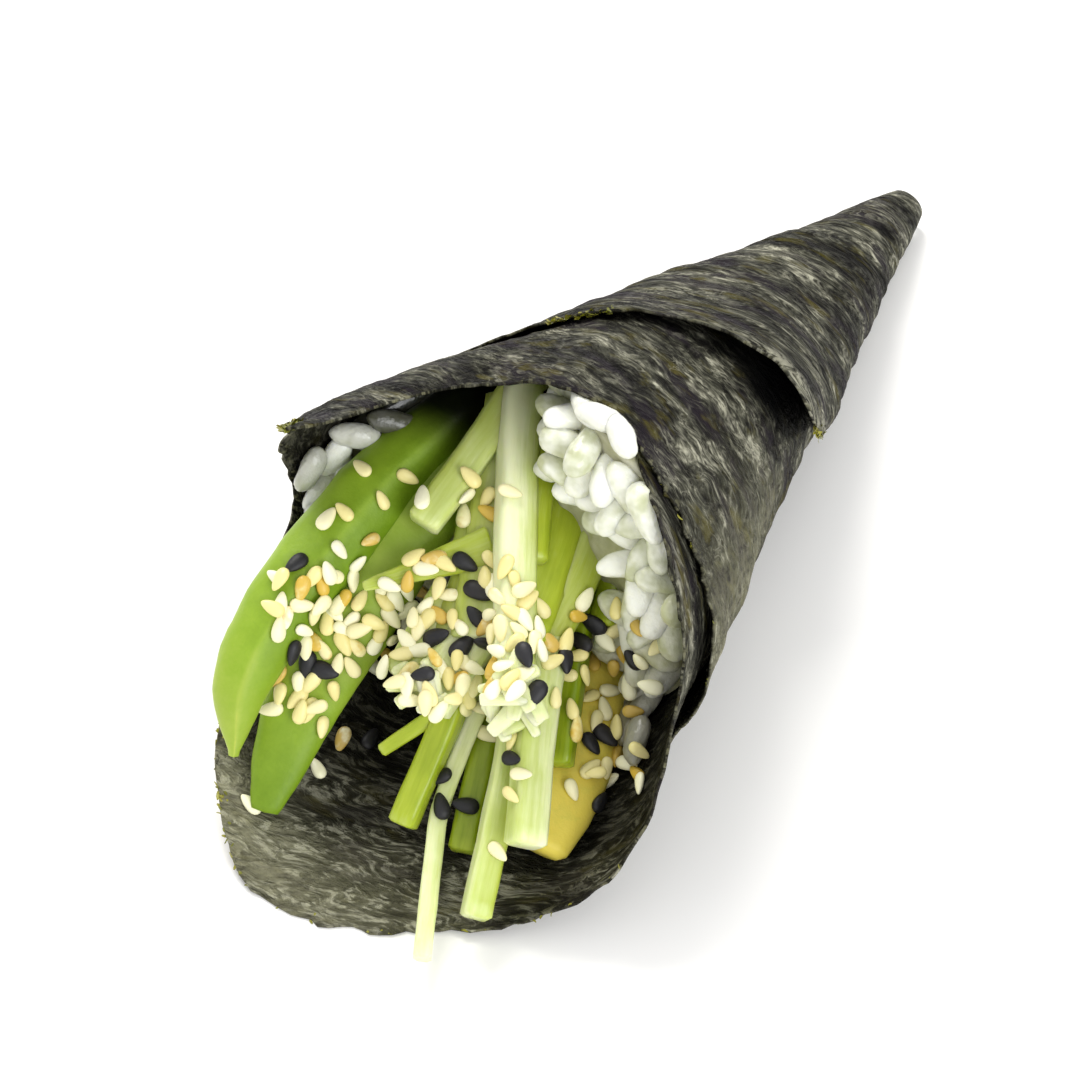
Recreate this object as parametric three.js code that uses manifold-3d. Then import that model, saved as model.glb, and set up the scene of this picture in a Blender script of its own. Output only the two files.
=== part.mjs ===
// A temaki hand roll lying on its side: a sheet of toasted nori wound into a cone around a bed of rice,
// with avocado slices and cucumber sticks standing out of the mouth under a sprinkling of sesame seeds.
//
// Millimetres, +Z up. The roll lies along Y: its tip points to +Y, its mouth opens to -Y, and it rests on
// Z = 0. Stations are measured along the cone from its tip, and turns of the sheet in degrees from the top,
// clockwise as seen from the mouth: 0 is the top, 90 the right (+X), 180 the bottom and 270 the left.

import * as THREE from "three";
import { mergeVertices } from "three/addons/utils/BufferGeometryUtils.js";
import Module from "manifold-3d";

const wasm = await Module();
wasm.setup();

// ---------------------------------------------------------------- driving dimensions

const TIP_Y = 67.8; // where the tip lies
const AXIS_X = 0.6; // the cone's axis lies in this plane
const TIP_RADIUS = 2.05;
const CONE_SLOPE = 0.262; // growth of the radius for each millimetre of station
const SETTLE = 0.018; // how far the cone sags into its flat foot, for each millimetre of station
const TIP_ROUNDING = { share: 0.15, reach: 2 }; // the tip draws in at its very end
const TIP_BULGE = { height: 0.8, reach: 8 }; // and is fuller than the rest of the cone
const OVAL = 1.02; // width of the cone's section for its height
const GROUND_BLEND = 0.3; // rounds the sheet where it meets the ground
const CLEARANCE = 0.35; // gap between touching pieces

const SHEET = {
  thickness: 0.7,
  pitch: 1.15, // from one layer to the next
  start: 8, // the inner end, under the top
  end: 850, // the outer end, past the right side
  tip: 0.6, // station of the tip's end
  innerTip: 10, // where the inner layers stop short of it
  innerTipTurns: [440, 520], // and the turns over which they come to reach it
  embed: 0.05, // how far the sheet is pressed down
  foot: 0.11, // height up to which its underside has settled quite flat
  stepUp: [-2, 12], // stations past the layer beneath over which the sheet comes down to the ground
  columns: 84,
  rows: 9,
  crowding: 1.35, // draws the rows together towards the mouth
};

// The sheet's mouth-side edge: [turn, station]. It makes the mouth's rim, the flap that lies out in front,
// and the free end that crosses the cone.
const SHEET_EDGE = [
  [8, 82], [32, 86.5], [60, 95.5], [90, 101], [112, 110], [130, 116.6], [145, 121.8], [158, 126.2],
  [170, 130.6], [186, 134.2], [200, 132.2], [216, 125.3], [229, 116.8], [246, 105.6], [260, 99.1],
  [280, 99.6], [292, 100.8], [300, 102.6], [308, 105], [316, 107.6], [322, 108.3],
  [325, 106], [328, 101], [330, 94.8],
  [332, 91.4], [335, 88.1], [340, 86], [345, 85], [362, 84.6], [380, 84], [410, 88.5],
  [440, 91.5], [480, 99], [540, 103], [585, 103], [615, 94],
  [650, 78], [690, 67], [720, 62], [735, 60.1], [750, 59.3], [765, 58.5], [780, 57.6], [792, 56],
  [800, 54], [812, 49], [830, 41], [850, 33],
];

// Shallow waves that run round the cone, growing up to full height over a range of stations.
const BUCKLES = [
  { height: 0.32, waves: 3, slant: 0.11, phase: 0 },
  { height: 0.2, waves: 5, slant: -0.17, phase: 1.2 },
];
const BUCKLES_GROW = [12, 45];

// Hollows (below zero) and swellings of every layer: height, turn at the middle, spread in degrees and the
// stations over which they grow.
const FORMS = [
  { height: -2.6, turn: 338, spread: 17, grow: [66, 90] }, // the rim sags at the upper left
  { height: -1.3, turn: 308, spread: 12, grow: [97, 106] }, // and is dented in the corner
  { height: 3.8, turn: 130, spread: 34, grow: [94, 113] }, // the mouth flares at the lower right
];

// Where the sheet stands off the layer beneath: height, turn at the middle, spread and reach from the edge.
const LIFTS = [
  { height: 3.3, turn: 768, spread: 36, reach: 18 }, // the free end
  { height: 0.8, turn: 460, spread: 16, reach: 10 }, // the right-hand rim
];

const RICE = {
  start: 22, // station where the bed begins, inside the cone
  frontMiddle: 88, // and where it ends on the axis
  frontShare: 0.55, // share of the way to the side where the front's flat middle begins
  sides: 22,
  rings: 5,
  grainLength: 6.3,
  grainWidth: 2.9,
  grainSides: 5,
  grains: 84,
  proud: 0.4, // how far the grains' middles stand out of the front
};

// Station of the rice's front along its side: [turn, station].
const RICE_FRONT = [
  [0, 82], [15, 87], [40, 89], [75, 93], [110, 94], [240, 94], [262, 96], [285, 96], [297, 92], [312, 76],
  [325, 64], [338, 66], [350, 76], [360, 82],
];

// The hollow in the rice's front at the upper left, over the avocado.
const RICE_HOLLOW = { depth: 17, turn: 305, spread: 30, share: 0.62, width: 0.3 };

// The cucumber's core inside the roll: [x, y, z, half width, half height].
const CORE = [
  [-1, 22, 14, 3.5, 3.5],
  [-1, -5, 23, 6.5, 6],
  [0.5, -18, 22, 7.5, 6.5],
  [1.5, -26, 20, 7.5, 6],
  [4, -33.5, 16.5, 5, 4],
];

// Cucumber sticks: their middle lines as [x, y, z] points from the inner end out, with the size of the cut
// face and the turn of that face about the stick in degrees.
const STICKS = [
  { path: [[-8, -7, 33.4], [-7.4, -11.6, 34.4], [10.9, -41.5, 22.5]], width: 4.3, height: 3.6, roll: -22 },
  { path: [[-8.2, -10.6, 34], [-8.5, -30, 28.8]], width: 3.9, height: 2.6, roll: 10 },
  { path: [[-8.4, -11.6, 32.2], [2.8, -35.8, 21.5]], width: 6.5, height: 3.4, roll: 8 },
  { path: [[-7.5, -16, 30], [0.5, -38, 19.5]], width: 5, height: 4, roll: 20 },
  { path: [[-1.3, -27.5, 26.6], [-10.9, -38.2, 24.4]], width: 4.8, height: 2, roll: 5, tip: 0.25 },
  { path: [[-3.6, -13.6, 31.6], [3.5, -27, 27]], width: 4, height: 3.4, roll: -15 },
  { path: [[1.6, -15.4, 27.6], [6.8, -33.3, 22.5]], width: 5.4, height: 3.2, roll: -10 },
  { path: [[6.8, -17.8, 25.2], [8.5, -31.2, 20.5]], width: 4.4, height: 3.2, roll: -25 },
  { path: [[8.6, -18.4, 22.6], [12, -24.2, 18.5]], width: 3.2, height: 3, roll: 30 },
  { path: [[2, -29, 23], [1, -43.7, 17.5]], width: 5.6, height: 4.2, roll: 12 },
  { path: [[4.8, -28.6, 22.5], [10, -40.7, 17]], width: 5, height: 4.2, roll: -8 },
  { path: [[-3.4, -28.5, 24], [-3.3, -42.4, 18]], width: 4, height: 3.4, roll: 16 },
  { path: [[5.8, -24.3, 23.2], [18.4, -50.5, 11.8]], width: 4.2, height: 3.2, roll: -28 },
  { path: [[6.1, -31, 17.5], [16.6, -57.8, 5.3]], width: 3.2, height: 2.8, roll: -14 },
  { path: [[1, -32.7, 20], [3.3, -52.5, 6.5]], width: 3.1, height: 2.8, roll: 18 },
  { path: [[1.8, -33, 16.5], [4.1, -45.4, 8]], width: 2.6, height: 2.4, roll: -10 },
  {
    path: [[3.7, -32.2, 16.8], [5.5, -47.7, 7.2], [8.4, -54.1, 5.2], [14.1, -64.6, 3.6]],
    width: 2.1,
    height: 1.8,
    roll: 0,
  },
  { path: [[1.9, -28.3, 14.5], [10, -50.6, 4.3]], width: 3.2, height: 2.6, roll: 8 },
  { path: [[5.8, -36.6, 18.6], [-2.8, -47.4, 10]], width: 1.7, height: 1.4, roll: 0 },
  { path: [[7.6, -21.5, 19.5], [15.7, -39.3, 11.9]], width: 2.8, height: 2.6, roll: 20 },
];

// Avocado slices: middle line as [x, y, z, share of the full size], and the outline of the cut across it as
// [across, out] shares of the width and thickness.
const WEDGE = [
  [-0.5, -0.1], [-0.42, 0.22], [-0.2, 0.42], [0.08, 0.5], [0.4, 0.24], [0.5, -0.08], [0.36, -0.36],
  [0, -0.5], [-0.34, -0.4],
];
const SLAB = [
  [-0.5, 0.06], [-0.4, 0.34], [-0.12, 0.5], [0.26, 0.46], [0.47, 0.2], [0.49, -0.14], [0.3, -0.44],
  [-0.05, -0.5], [-0.4, -0.34],
];
const SLICES = [
  {
    name: "avocado_slice_left",
    outline: WEDGE,
    width: 9,
    thickness: 6.4,
    path: [
      [-12.4, -2.5, 26.5, 0.7], [-14, -14.5, 29.2, 0.84], [-16, -24.8, 28, 0.96], [-17.4, -35.9, 25, 1],
      [-18.6, -45.8, 21, 0.9], [-18.3, -52.8, 16, 0.7], [-16.3, -57.2, 11.2, 0.16],
    ],
  },
  {
    name: "avocado_slice_middle",
    outline: SLAB,
    width: 10.6,
    thickness: 4.6,
    path: [
      [-10.4, -3, 27.4, 0.6], [-11.1, -10.5, 28.4, 0.74], [-11.6, -19.2, 26.8, 0.86],
      [-12.2, -29.5, 23.5, 0.94], [-12.9, -39.8, 17.8, 0.96], [-13.6, -47.6, 11.6, 0.8],
      [-13, -53.5, 7.2, 0.6], [-12, -57.6, 4.3, 0.36],
    ],
  },
  {
    name: "avocado_slice_right",
    outline: SLAB,
    width: 9.6,
    thickness: 3.8,
    path: [
      [10.6, -17, 12, 0.6], [12, -25.5, 10.6, 0.8], [14.2, -33, 9.2, 0.94], [16, -40, 7.8, 1],
      [16.9, -46.6, 6.6, 0.86],
    ],
  },
];

const SEED = { length: 2.95, width: 1.7, thickness: 1.05, sides: 5, lift: 0.18 };

// Where the sesame fell, seen along the way it was sprinkled: [across, up, half width, half height, seeds].
const SPRINKLE = {
  azimuth: 33,
  elevation: 50,
  middle: [-0.2, -18.9, 20],
  height: 90,
  patches: [
    [-9.7, -10.4, 9.6, 9.6, 48],
    [-24.6, -8, 6.3, 6.6, 20],
    [-26.3, -17.6, 5.6, 6.2, 9],
    [-19, 3.4, 8, 7, 7],
    [6.9, -14.9, 6.6, 8, 20],
    [-6.9, 3.4, 4.6, 2.9, 4],
    [-8, -29, 5, 6.5, 5],
    [8, -26.4, 5, 5.4, 6],
  ],
};
const GOLDEN_ANGLE = Math.PI * (3 - Math.sqrt(5));
const DEG = Math.PI / 180;

// ---------------------------------------------------------------- small helpers

const vec = (x, y, z) => new THREE.Vector3(x, y, z);
const clamp01 = (t) => Math.min(1, Math.max(0, t));
const smoothStep = (low, high, x) => THREE.MathUtils.smoothstep(x, low, high);
const bell = (x, centre, width) => Math.exp(-(((x - centre) / width) ** 2));

/** The smaller change of direction between two angles in degrees. */
const angleBetween = (a, b) => Math.abs(((a - b + 540) % 360) - 180);

/** A smooth maximum: never less than either value, and rounded over about `blend` where they cross. */
const softMax = (a, b, blend) => 0.5 * (a + b + Math.hypot(a - b, blend));

/** The value at x of a smooth line (Catmull-Rom) through [x, value] points. */
function along(points, x) {
  const last = points.length - 1;
  let i = points.findIndex((p) => p[0] > x) - 1;
  if (i === -2) i = last - 1;
  i = Math.max(0, Math.min(last - 1, i));
  const [x0, a] = points[i];
  const [x1, b] = points[i + 1];
  const slopeAt = (k) => {
    const before = points[Math.max(0, k - 1)];
    const after = points[Math.min(last, k + 1)];
    return (after[1] - before[1]) / (after[0] - before[0]);
  };
  const h = x1 - x0;
  const t = clamp01((x - x0) / h);
  const t2 = t * t;
  const t3 = t2 * t;
  return (
    (2 * t3 - 3 * t2 + 1) * a +
    (t3 - 2 * t2 + t) * h * slopeAt(i) +
    (3 * t2 - 2 * t3) * b +
    (t3 - t2) * h * slopeAt(i + 1)
  );
}

/** A BufferGeometry from a list of Vector3 corners and a list of triangles. */
function geometryFrom(corners, triangles) {
  const geometry = new THREE.BufferGeometry();
  const numbers = corners.flatMap((p) => [p.x, p.y, p.z]);
  geometry.setAttribute("position", new THREE.Float32BufferAttribute(numbers, 3));
  geometry.setIndex(triangles);
  return geometry;
}

/** The manifold-3d solid of a closed three.js geometry. */
function solidFrom(geometry) {
  const bare = geometry.clone();
  bare.deleteAttribute("normal");
  bare.deleteAttribute("uv");
  const merged = mergeVertices(bare, 1e-4);
  return new wasm.Manifold(
    new wasm.Mesh({
      numProp: 3,
      vertProperties: merged.attributes.position.array,
      triVerts: new Uint32Array(merged.index.array),
    }),
  );
}

/** The three.js geometry of a manifold-3d solid. */
function geometryOf(solid) {
  const mesh = solid.getMesh();
  const geometry = new THREE.BufferGeometry();
  const corners = new Float32Array(mesh.numVert * 3);
  for (let i = 0; i < mesh.numVert; i++) {
    corners.set(mesh.vertProperties.subarray(i * mesh.numProp, i * mesh.numProp + 3), i * 3);
  }
  geometry.setAttribute("position", new THREE.BufferAttribute(corners, 3));
  geometry.setIndex(new THREE.BufferAttribute(new Uint32Array(mesh.triVerts), 1));
  geometry.computeVertexNormals();
  return geometry;
}

/**
 * A closed solid from rings of corners, each ring the same length and wound alike, with a fan of triangles
 * closing the first and the last ring about its middle.
 */
function ringSolid(rings) {
  const count = rings[0].length;
  const corners = rings.flat();
  const triangles = [];
  for (let j = 0; j < rings.length - 1; j++) {
    for (let i = 0; i < count; i++) {
      const a = j * count + i;
      const b = j * count + ((i + 1) % count);
      triangles.push(a, b, b + count, a, b + count, a + count);
    }
  }
  const middle = (ring) => ring.reduce((sum, p) => sum.add(p), vec(0, 0, 0)).divideScalar(count);
  const first = corners.push(middle(rings[0])) - 1;
  const last = corners.push(middle(rings[rings.length - 1])) - 1;
  const lastRing = (rings.length - 1) * count;
  for (let i = 0; i < count; i++) {
    const next = (i + 1) % count;
    triangles.push(next, i, first);
    triangles.push(lastRing + i, lastRing + next, last);
  }
  const solid = solidFrom(geometryFrom(corners, triangles));
  if (solid.volume() > 0) return solid;
  for (let i = 0; i < triangles.length; i += 3) {
    [triangles[i + 1], triangles[i + 2]] = [triangles[i + 2], triangles[i + 1]];
  }
  return solidFrom(geometryFrom(corners, triangles));
}

// ---------------------------------------------------------------- the cone that everything follows

/** Radius of the cone at a station, with its tip rounded off. */
function coneRadius(station) {
  const fromTip = station - SHEET.tip;
  const drawnIn = TIP_ROUNDING.share * Math.exp(-fromTip / TIP_ROUNDING.reach);
  const bulge = TIP_BULGE.height * Math.exp(-fromTip / TIP_BULGE.reach);
  return (TIP_RADIUS + CONE_SLOPE * station) * (1 - drawnIn) + bulge;
}

/** Height of the cone's middle line over the ground at a station. */
const coneHeight = (station) => coneRadius(station) - SETTLE * station;

/** The point at a turn and station, `inset` inside the outermost surface and no lower than `ground`. */
function conePoint(turn, station, inset, ground) {
  const radius = coneRadius(station) - inset;
  const z = coneHeight(station) + radius * Math.cos(turn * DEG);
  const x = AXIS_X + radius * OVAL * Math.sin(turn * DEG);
  return vec(x, TIP_Y - station, softMax(z, ground, GROUND_BLEND));
}

// ---------------------------------------------------------------- nori sheet

const sheetEdge = (turn) => along(SHEET_EDGE, turn);

const sum = (values) => values.reduce((total, value) => total + value, 0);

/** Station where the sheet begins at its tip side: the inner layers stop short of the tip. */
const sheetTipEdge = (turn) =>
  THREE.MathUtils.lerp(SHEET.innerTip, SHEET.tip, smoothStep(...SHEET.innerTipTurns, turn));

/** How far the sheet stands off the layer beneath. */
function sheetLift(turn, station) {
  const toEdge = sheetEdge(turn) - station;
  const heightOf = (lift) => lift.height * bell(turn, lift.turn, lift.spread);
  return sum(LIFTS.map((lift) => heightOf(lift) * (1 - smoothStep(0, lift.reach, toEdge))));
}

/** The waves, hollows and swellings, alike in every layer so that they nest. */
function sheetRipple(turn, station) {
  const angleOf = ({ waves, slant, phase }) => waves * turn * DEG + station * slant + phase;
  const buckles = sum(BUCKLES.map((buckle) => buckle.height * Math.sin(angleOf(buckle))));
  const across = (form) => bell(angleBetween(turn, form.turn), 0, form.spread);
  const forms = sum(FORMS.map((form) => form.height * across(form) * smoothStep(...form.grow, station)));
  return smoothStep(...BUCKLES_GROW, station) * buckles + forms;
}

/** How far inside the outermost surface a layer lies at a turn. */
const layerInset = (turn) => (SHEET.pitch * (SHEET.end - turn)) / 360;

/** Middle of the sheet's thickness. */
function sheetPoint(turn, station) {
  const inset = layerInset(turn) - sheetLift(turn, station) - sheetRipple(turn, station);
  const onLayer = turn < 360 ? 1 - smoothStep(...SHEET.stepUp, station - sheetEdge(turn + 360)) : 0;
  const ground = SHEET.thickness / 2 - SHEET.embed + SHEET.pitch * onLayer;
  return conePoint(turn, station, inset, ground);
}

/** The wound sheet as one thin solid: both faces of the same grid, joined along its four edges. */
function sheetSolid() {
  const { columns, rows, thickness, start, end } = SHEET;
  const face = [];
  for (let i = 0; i <= columns; i++) {
    const turn = start + ((end - start) * i) / columns;
    for (let j = 0; j <= rows; j++) {
      const share = 1 - (1 - j / rows) ** SHEET.crowding;
      face.push({ turn, station: THREE.MathUtils.lerp(sheetTipEdge(turn), sheetEdge(turn), share) });
    }
  }
  const corners = [];
  for (const side of [1, -1]) {
    for (const { turn, station } of face) {
      const here = sheetPoint(turn, station);
      const round = sheetPoint(turn + 1, station).sub(sheetPoint(turn - 1, station));
      const out = sheetPoint(turn, station + 0.5).sub(sheetPoint(turn, station - 0.5));
      const normal = out.cross(round).normalize().multiplyScalar((side * thickness) / 2);
      const corner = here.add(normal);
      corner.z = Math.max(corner.z, SHEET.foot);
      corners.push(corner);
    }
  }
  const stride = rows + 1;
  const under = face.length;
  const triangles = [];
  const quad = (a, b, c, d) => triangles.push(a, b, c, a, c, d);
  for (let i = 0; i < columns; i++) {
    for (let j = 0; j < rows; j++) {
      const a = i * stride + j;
      const b = a + stride;
      quad(a, a + 1, b + 1, b);
      quad(under + a, under + b, under + b + 1, under + a + 1);
    }
    const low = i * stride;
    const high = low + rows;
    quad(low, low + stride, under + low + stride, under + low);
    quad(high, under + high, under + high + stride, high + stride);
  }
  for (let j = 0; j < rows; j++) {
    const last = columns * stride + j;
    quad(j, under + j, under + j + 1, j + 1);
    quad(last, last + 1, under + last + 1, under + last);
  }
  return solidFrom(geometryFrom(corners, triangles));
}

// ---------------------------------------------------------------- bars, slices, grains and seeds

/** Rings of an outline carried along a path, `grow` millimetres larger on every side. */
function sweep(path, outline, width, thickness, roll, grow) {
  const places = path.map(([x, y, z]) => vec(x, y, z));
  const last = places.length - 1;
  const up = viewAxes().back;
  return places.map((place, i) => {
    const heading = places[Math.min(last, i + 1)].clone().sub(places[Math.max(0, i - 1)]).normalize();
    const across = heading.clone().cross(up).normalize().negate();
    const out = across.clone().cross(heading).normalize();
    across.applyAxisAngle(heading, roll * DEG);
    out.applyAxisAngle(heading, roll * DEG);
    if (out.dot(up) < 0) out.negate();
    if (across.x < 0) across.negate();
    const share = path[i][3] ?? 1;
    const end = i === 0 ? -grow : i === last ? grow : 0;
    const centre = place.clone().addScaledVector(heading, end);
    return outline.map(([u, v]) =>
      centre
        .clone()
        .addScaledVector(across, u * (width * share + 2 * grow))
        .addScaledVector(out, v * (thickness * share + 2 * grow)),
    );
  });
}

/** The way the sesame was sprinkled, as three axes: across, up and back towards where it came from. */
function viewAxes() {
  const a = SPRINKLE.azimuth * DEG;
  const e = SPRINKLE.elevation * DEG;
  const back = vec(Math.sin(a) * Math.cos(e), -Math.cos(a) * Math.cos(e), Math.sin(e));
  const across = vec(Math.cos(a), Math.sin(a), 0);
  return { back, across, up: back.clone().cross(across) };
}

const SQUARE = [[-0.5, -0.5], [0.5, -0.5], [0.5, 0.5], [-0.5, 0.5]];

/** One cucumber stick, or the space it needs when grown. */
function stickSolid({ path, width, height, roll, tip = 1 }, grow = 0) {
  const shares = path.map((p, i) => [...p, i === path.length - 1 ? tip : 1]);
  return ringSolid(sweep(shares, SQUARE, width, height, roll, grow));
}

/** One avocado slice, or the space it needs when grown. */
function sliceSolid({ path, outline, width, thickness }, grow = 0) {
  return ringSolid(sweep(path, outline, width, thickness, 0, grow));
}

/** The cucumber's core: flattened rings along its middle line. */
function coreSolid(grow = 0) {
  const sides = 10;
  const rings = CORE.map(([x, y, z, halfWidth, halfHeight], i) => {
    const end = i === 0 ? grow : i === CORE.length - 1 ? -grow : 0;
    return Array.from({ length: sides }, (_, k) => {
      const angle = (2 * Math.PI * k) / sides;
      const aside = (halfWidth + grow) * Math.cos(angle);
      return vec(x + aside, y + end, z + (halfHeight + grow) * Math.sin(angle));
    });
  });
  return ringSolid(rings);
}

/** A pointed or rounded small body, `profile` giving its girth as [share of length, share of girth]. */
function kernelSolid({ place, heading, out, length, width, thickness, profile, sides }) {
  const across = out.clone().cross(heading).normalize();
  const corners = [place.clone().addScaledVector(heading, -length / 2)];
  for (const [share, girth] of profile) {
    const centre = place.clone().addScaledVector(heading, length * (share - 0.5));
    for (let k = 0; k < sides; k++) {
      const angle = (2 * Math.PI * k) / sides;
      corners.push(
        centre
          .clone()
          .addScaledVector(across, (width / 2) * girth * Math.cos(angle))
          .addScaledVector(out, (thickness / 2) * girth * Math.sin(angle)),
      );
    }
  }
  corners.push(place.clone().addScaledVector(heading, length / 2));
  const triangles = [];
  const end = corners.length - 1;
  const lastRing = 1 + (profile.length - 1) * sides;
  for (let k = 0; k < sides; k++) {
    const next = (k + 1) % sides;
    triangles.push(0, 1 + next, 1 + k);
    triangles.push(end, lastRing + k, lastRing + next);
    for (let j = 0; j < profile.length - 1; j++) {
      const a = 1 + j * sides + k;
      const b = 1 + j * sides + next;
      triangles.push(a, b, b + sides, a, b + sides, a + sides);
    }
  }
  const solid = solidFrom(geometryFrom(corners, triangles));
  return solid.volume() > 0 ? solid : solidFrom(geometryFrom(corners, triangles.reverse()));
}

const GRAIN_PROFILE = [[0.12, 0.66], [0.5, 1], [0.88, 0.66]];
const SEED_PROFILE = [[0.25, 0.72], [0.62, 1]];

/** True when two solids share any space. */
const overlaps = (a, b) => !a.intersect(b).isEmpty();

// ---------------------------------------------------------------- rice

/** How far inside the outermost surface the rice's side lies, at a turn from 0 to 360. */
function riceInset(turn) {
  const overSheetStart = SHEET.pitch * smoothStep(336, 358, turn);
  return layerInset(turn) + overSheetStart + SHEET.thickness / 2 + CLEARANCE;
}

/** Station of the rice's front at a turn and a share of the way from the axis to the side. */
function riceFront(turn, share) {
  const across = bell(angleBetween(turn, RICE_HOLLOW.turn), 0, RICE_HOLLOW.spread);
  const hollow = RICE_HOLLOW.depth * across * bell(share, RICE_HOLLOW.share, RICE_HOLLOW.width);
  return THREE.MathUtils.lerp(RICE.frontMiddle, along(RICE_FRONT, turn), share) - hollow;
}

const RICE_FLOOR = SHEET.thickness + SHEET.pitch + CLEARANCE;

/** A point in the rice, `share` of the way from the axis to its side. */
function ricePoint(turn, station, share) {
  const side = conePoint(turn, station, riceInset(turn) - sheetRipple(turn, station), RICE_FLOOR);
  const axis = vec(AXIS_X, TIP_Y - station, coneHeight(station));
  return axis.lerp(side, share);
}

/** The bed of rice that fills the cone, before the fillings press their way into it. */
function riceBed() {
  const turns = Array.from({ length: RICE.sides }, (_, k) => (360 * k) / RICE.sides);
  const rings = [];
  for (let j = 0; j <= RICE.rings; j++) {
    rings.push(turns.map((turn) => {
      const station = THREE.MathUtils.lerp(RICE.start, riceFront(turn, 1), j / RICE.rings);
      return ricePoint(turn, station, 1);
    }));
  }
  rings.push(turns.map((turn) => ricePoint(turn, riceFront(turn, RICE.frontShare), RICE.frontShare)));
  return ringSolid(rings);
}

/** The grains that stand out of the bed's front, spread evenly, leaning every way and clear of the rest. */
function riceGrains(neighbours) {
  const grains = [];
  for (let k = 0; k < RICE.grains; k++) {
    const share = Math.sqrt(0.12 + (0.8 * (k + 0.5)) / RICE.grains);
    const turn = ((k * GOLDEN_ANGLE) / DEG) % 360;
    const station = riceFront(turn, share);
    const place = ricePoint(turn, station + RICE.proud, share);
    const outward = ricePoint(turn, station, 1).sub(ricePoint(turn, station, 0)).normalize();
    const round = vec(0, -1, 0).cross(outward).normalize();
    const lean = k * 2.3;
    const heading = round.multiplyScalar(Math.cos(lean)).addScaledVector(outward, Math.sin(lean) * 0.7);
    heading.addScaledVector(vec(0, -1, 0), 0.35 * Math.sin(k * 1.7)).normalize();
    const out = vec(0, -1, 0).addScaledVector(heading, heading.y).normalize();
    const shape = { place, heading, out, profile: GRAIN_PROFILE, sides: RICE.grainSides };
    const space = kernelSolid({
      ...shape,
      length: RICE.grainLength + 2 * CLEARANCE,
      width: RICE.grainWidth + 2 * CLEARANCE,
      thickness: RICE.grainWidth + 2 * CLEARANCE,
    });
    if (neighbours.some((other) => overlaps(space, other))) continue;
    grains.push(
      kernelSolid({ ...shape, length: RICE.grainLength, width: RICE.grainWidth, thickness: RICE.grainWidth }),
    );
  }
  return grains;
}

// ---------------------------------------------------------------- sesame

/** Drops the sesame on the hosts; returns the seeds that landed on each one, clear of every other piece. */
function sprinkleSeeds(hosts, screens) {
  const { back, across, up } = viewAxes();
  const targets = [...hosts, ...screens].map(({ name, solid }) => {
    const mesh = new THREE.Mesh(geometryOf(solid), new THREE.MeshBasicMaterial({ side: THREE.DoubleSide }));
    mesh.name = name;
    return mesh;
  });
  const caster = new THREE.Raycaster();
  const landed = new Map(hosts.map(({ name }) => [name, []]));
  let count = 0;
  for (const [u, v, halfWidth, halfHeight, seeds] of SPRINKLE.patches) {
    for (let k = 0; k < seeds; k++) {
      count += 1;
      const reach = Math.sqrt((k + 0.5) / seeds);
      const from = vec(...SPRINKLE.middle)
        .addScaledVector(across, u + halfWidth * reach * Math.cos(k * GOLDEN_ANGLE))
        .addScaledVector(up, v + halfHeight * reach * Math.sin(k * GOLDEN_ANGLE))
        .addScaledVector(back, SPRINKLE.height);
      caster.set(from, back.clone().negate());
      const hit = caster.intersectObjects(targets)[0];
      if (!hit || !landed.has(hit.object.name)) continue;
      const out = hit.face.normal.clone();
      if (out.dot(back) < 0.2) continue;
      const swing = count * 2.4;
      const heading = across.clone().multiplyScalar(Math.cos(swing)).addScaledVector(up, Math.sin(swing));
      heading.addScaledVector(out, -heading.dot(out)).normalize();
      const place = hit.point.clone().addScaledVector(out, SEED.thickness * SEED.lift);
      const shape = { place, heading, out, profile: SEED_PROFILE, sides: SEED.sides };
      const space = kernelSolid({
        ...shape,
        length: SEED.length + 2 * CLEARANCE,
        width: SEED.width + 2 * CLEARANCE,
        thickness: SEED.thickness + 2 * CLEARANCE,
      });
      const others = [...hosts, ...screens].filter(({ name }) => name !== hit.object.name);
      if (others.some(({ solid }) => overlaps(space, solid))) continue;
      landed.get(hit.object.name).push({
        space,
        solid: kernelSolid({ ...shape, length: SEED.length, width: SEED.width, thickness: SEED.thickness }),
      });
    }
  }
  return landed;
}

/** Keeps the seeds of different hosts clear of one another: the later host gives way. */
function separateSeeds(landed) {
  const kept = [];
  for (const seeds of landed.values()) {
    const clear = seeds.filter(({ space }) => !kept.some((other) => overlaps(space, other)));
    kept.push(...clear.map(({ solid }) => solid));
    seeds.length = 0;
    seeds.push(...clear);
  }
}

// ---------------------------------------------------------------- assembly

const union = (solids) => wasm.Manifold.union(solids);

/** The outer shell of a solid, without the pockets sealed inside it. */
const outerShell = (solid) => solid.decompose().reduce((a, b) => (a.volume() > b.volume() ? a : b));

const nori = sheetSolid();
const spaceOf = (slice) => sliceSolid(slice, CLEARANCE);
const slices = SLICES.map((slice, i) => ({
  name: slice.name,
  solid: SLICES.slice(i + 1).reduce((whole, next) => whole.subtract(spaceOf(next)), sliceSolid(slice)),
}));
const sliceSpace = union(SLICES.map(spaceOf));
const cucumber = union([coreSolid(), ...STICKS.map((stick) => stickSolid(stick))]).subtract(sliceSpace);
const cucumberSpace = union([coreSolid(CLEARANCE), ...STICKS.map((stick) => stickSolid(stick, CLEARANCE))]);
const bed = riceBed().subtract(sliceSpace).subtract(cucumberSpace);
const grains = riceGrains([nori, sliceSpace, cucumberSpace]);
const rice = union([bed, ...grains]);

const hosts = [{ name: "cucumber_bundle", solid: cucumber }, ...slices, { name: "rice", solid: rice }];
const landed = sprinkleSeeds(hosts, [{ name: "nori_sheet", solid: nori }]);
separateSeeds(landed);

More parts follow.
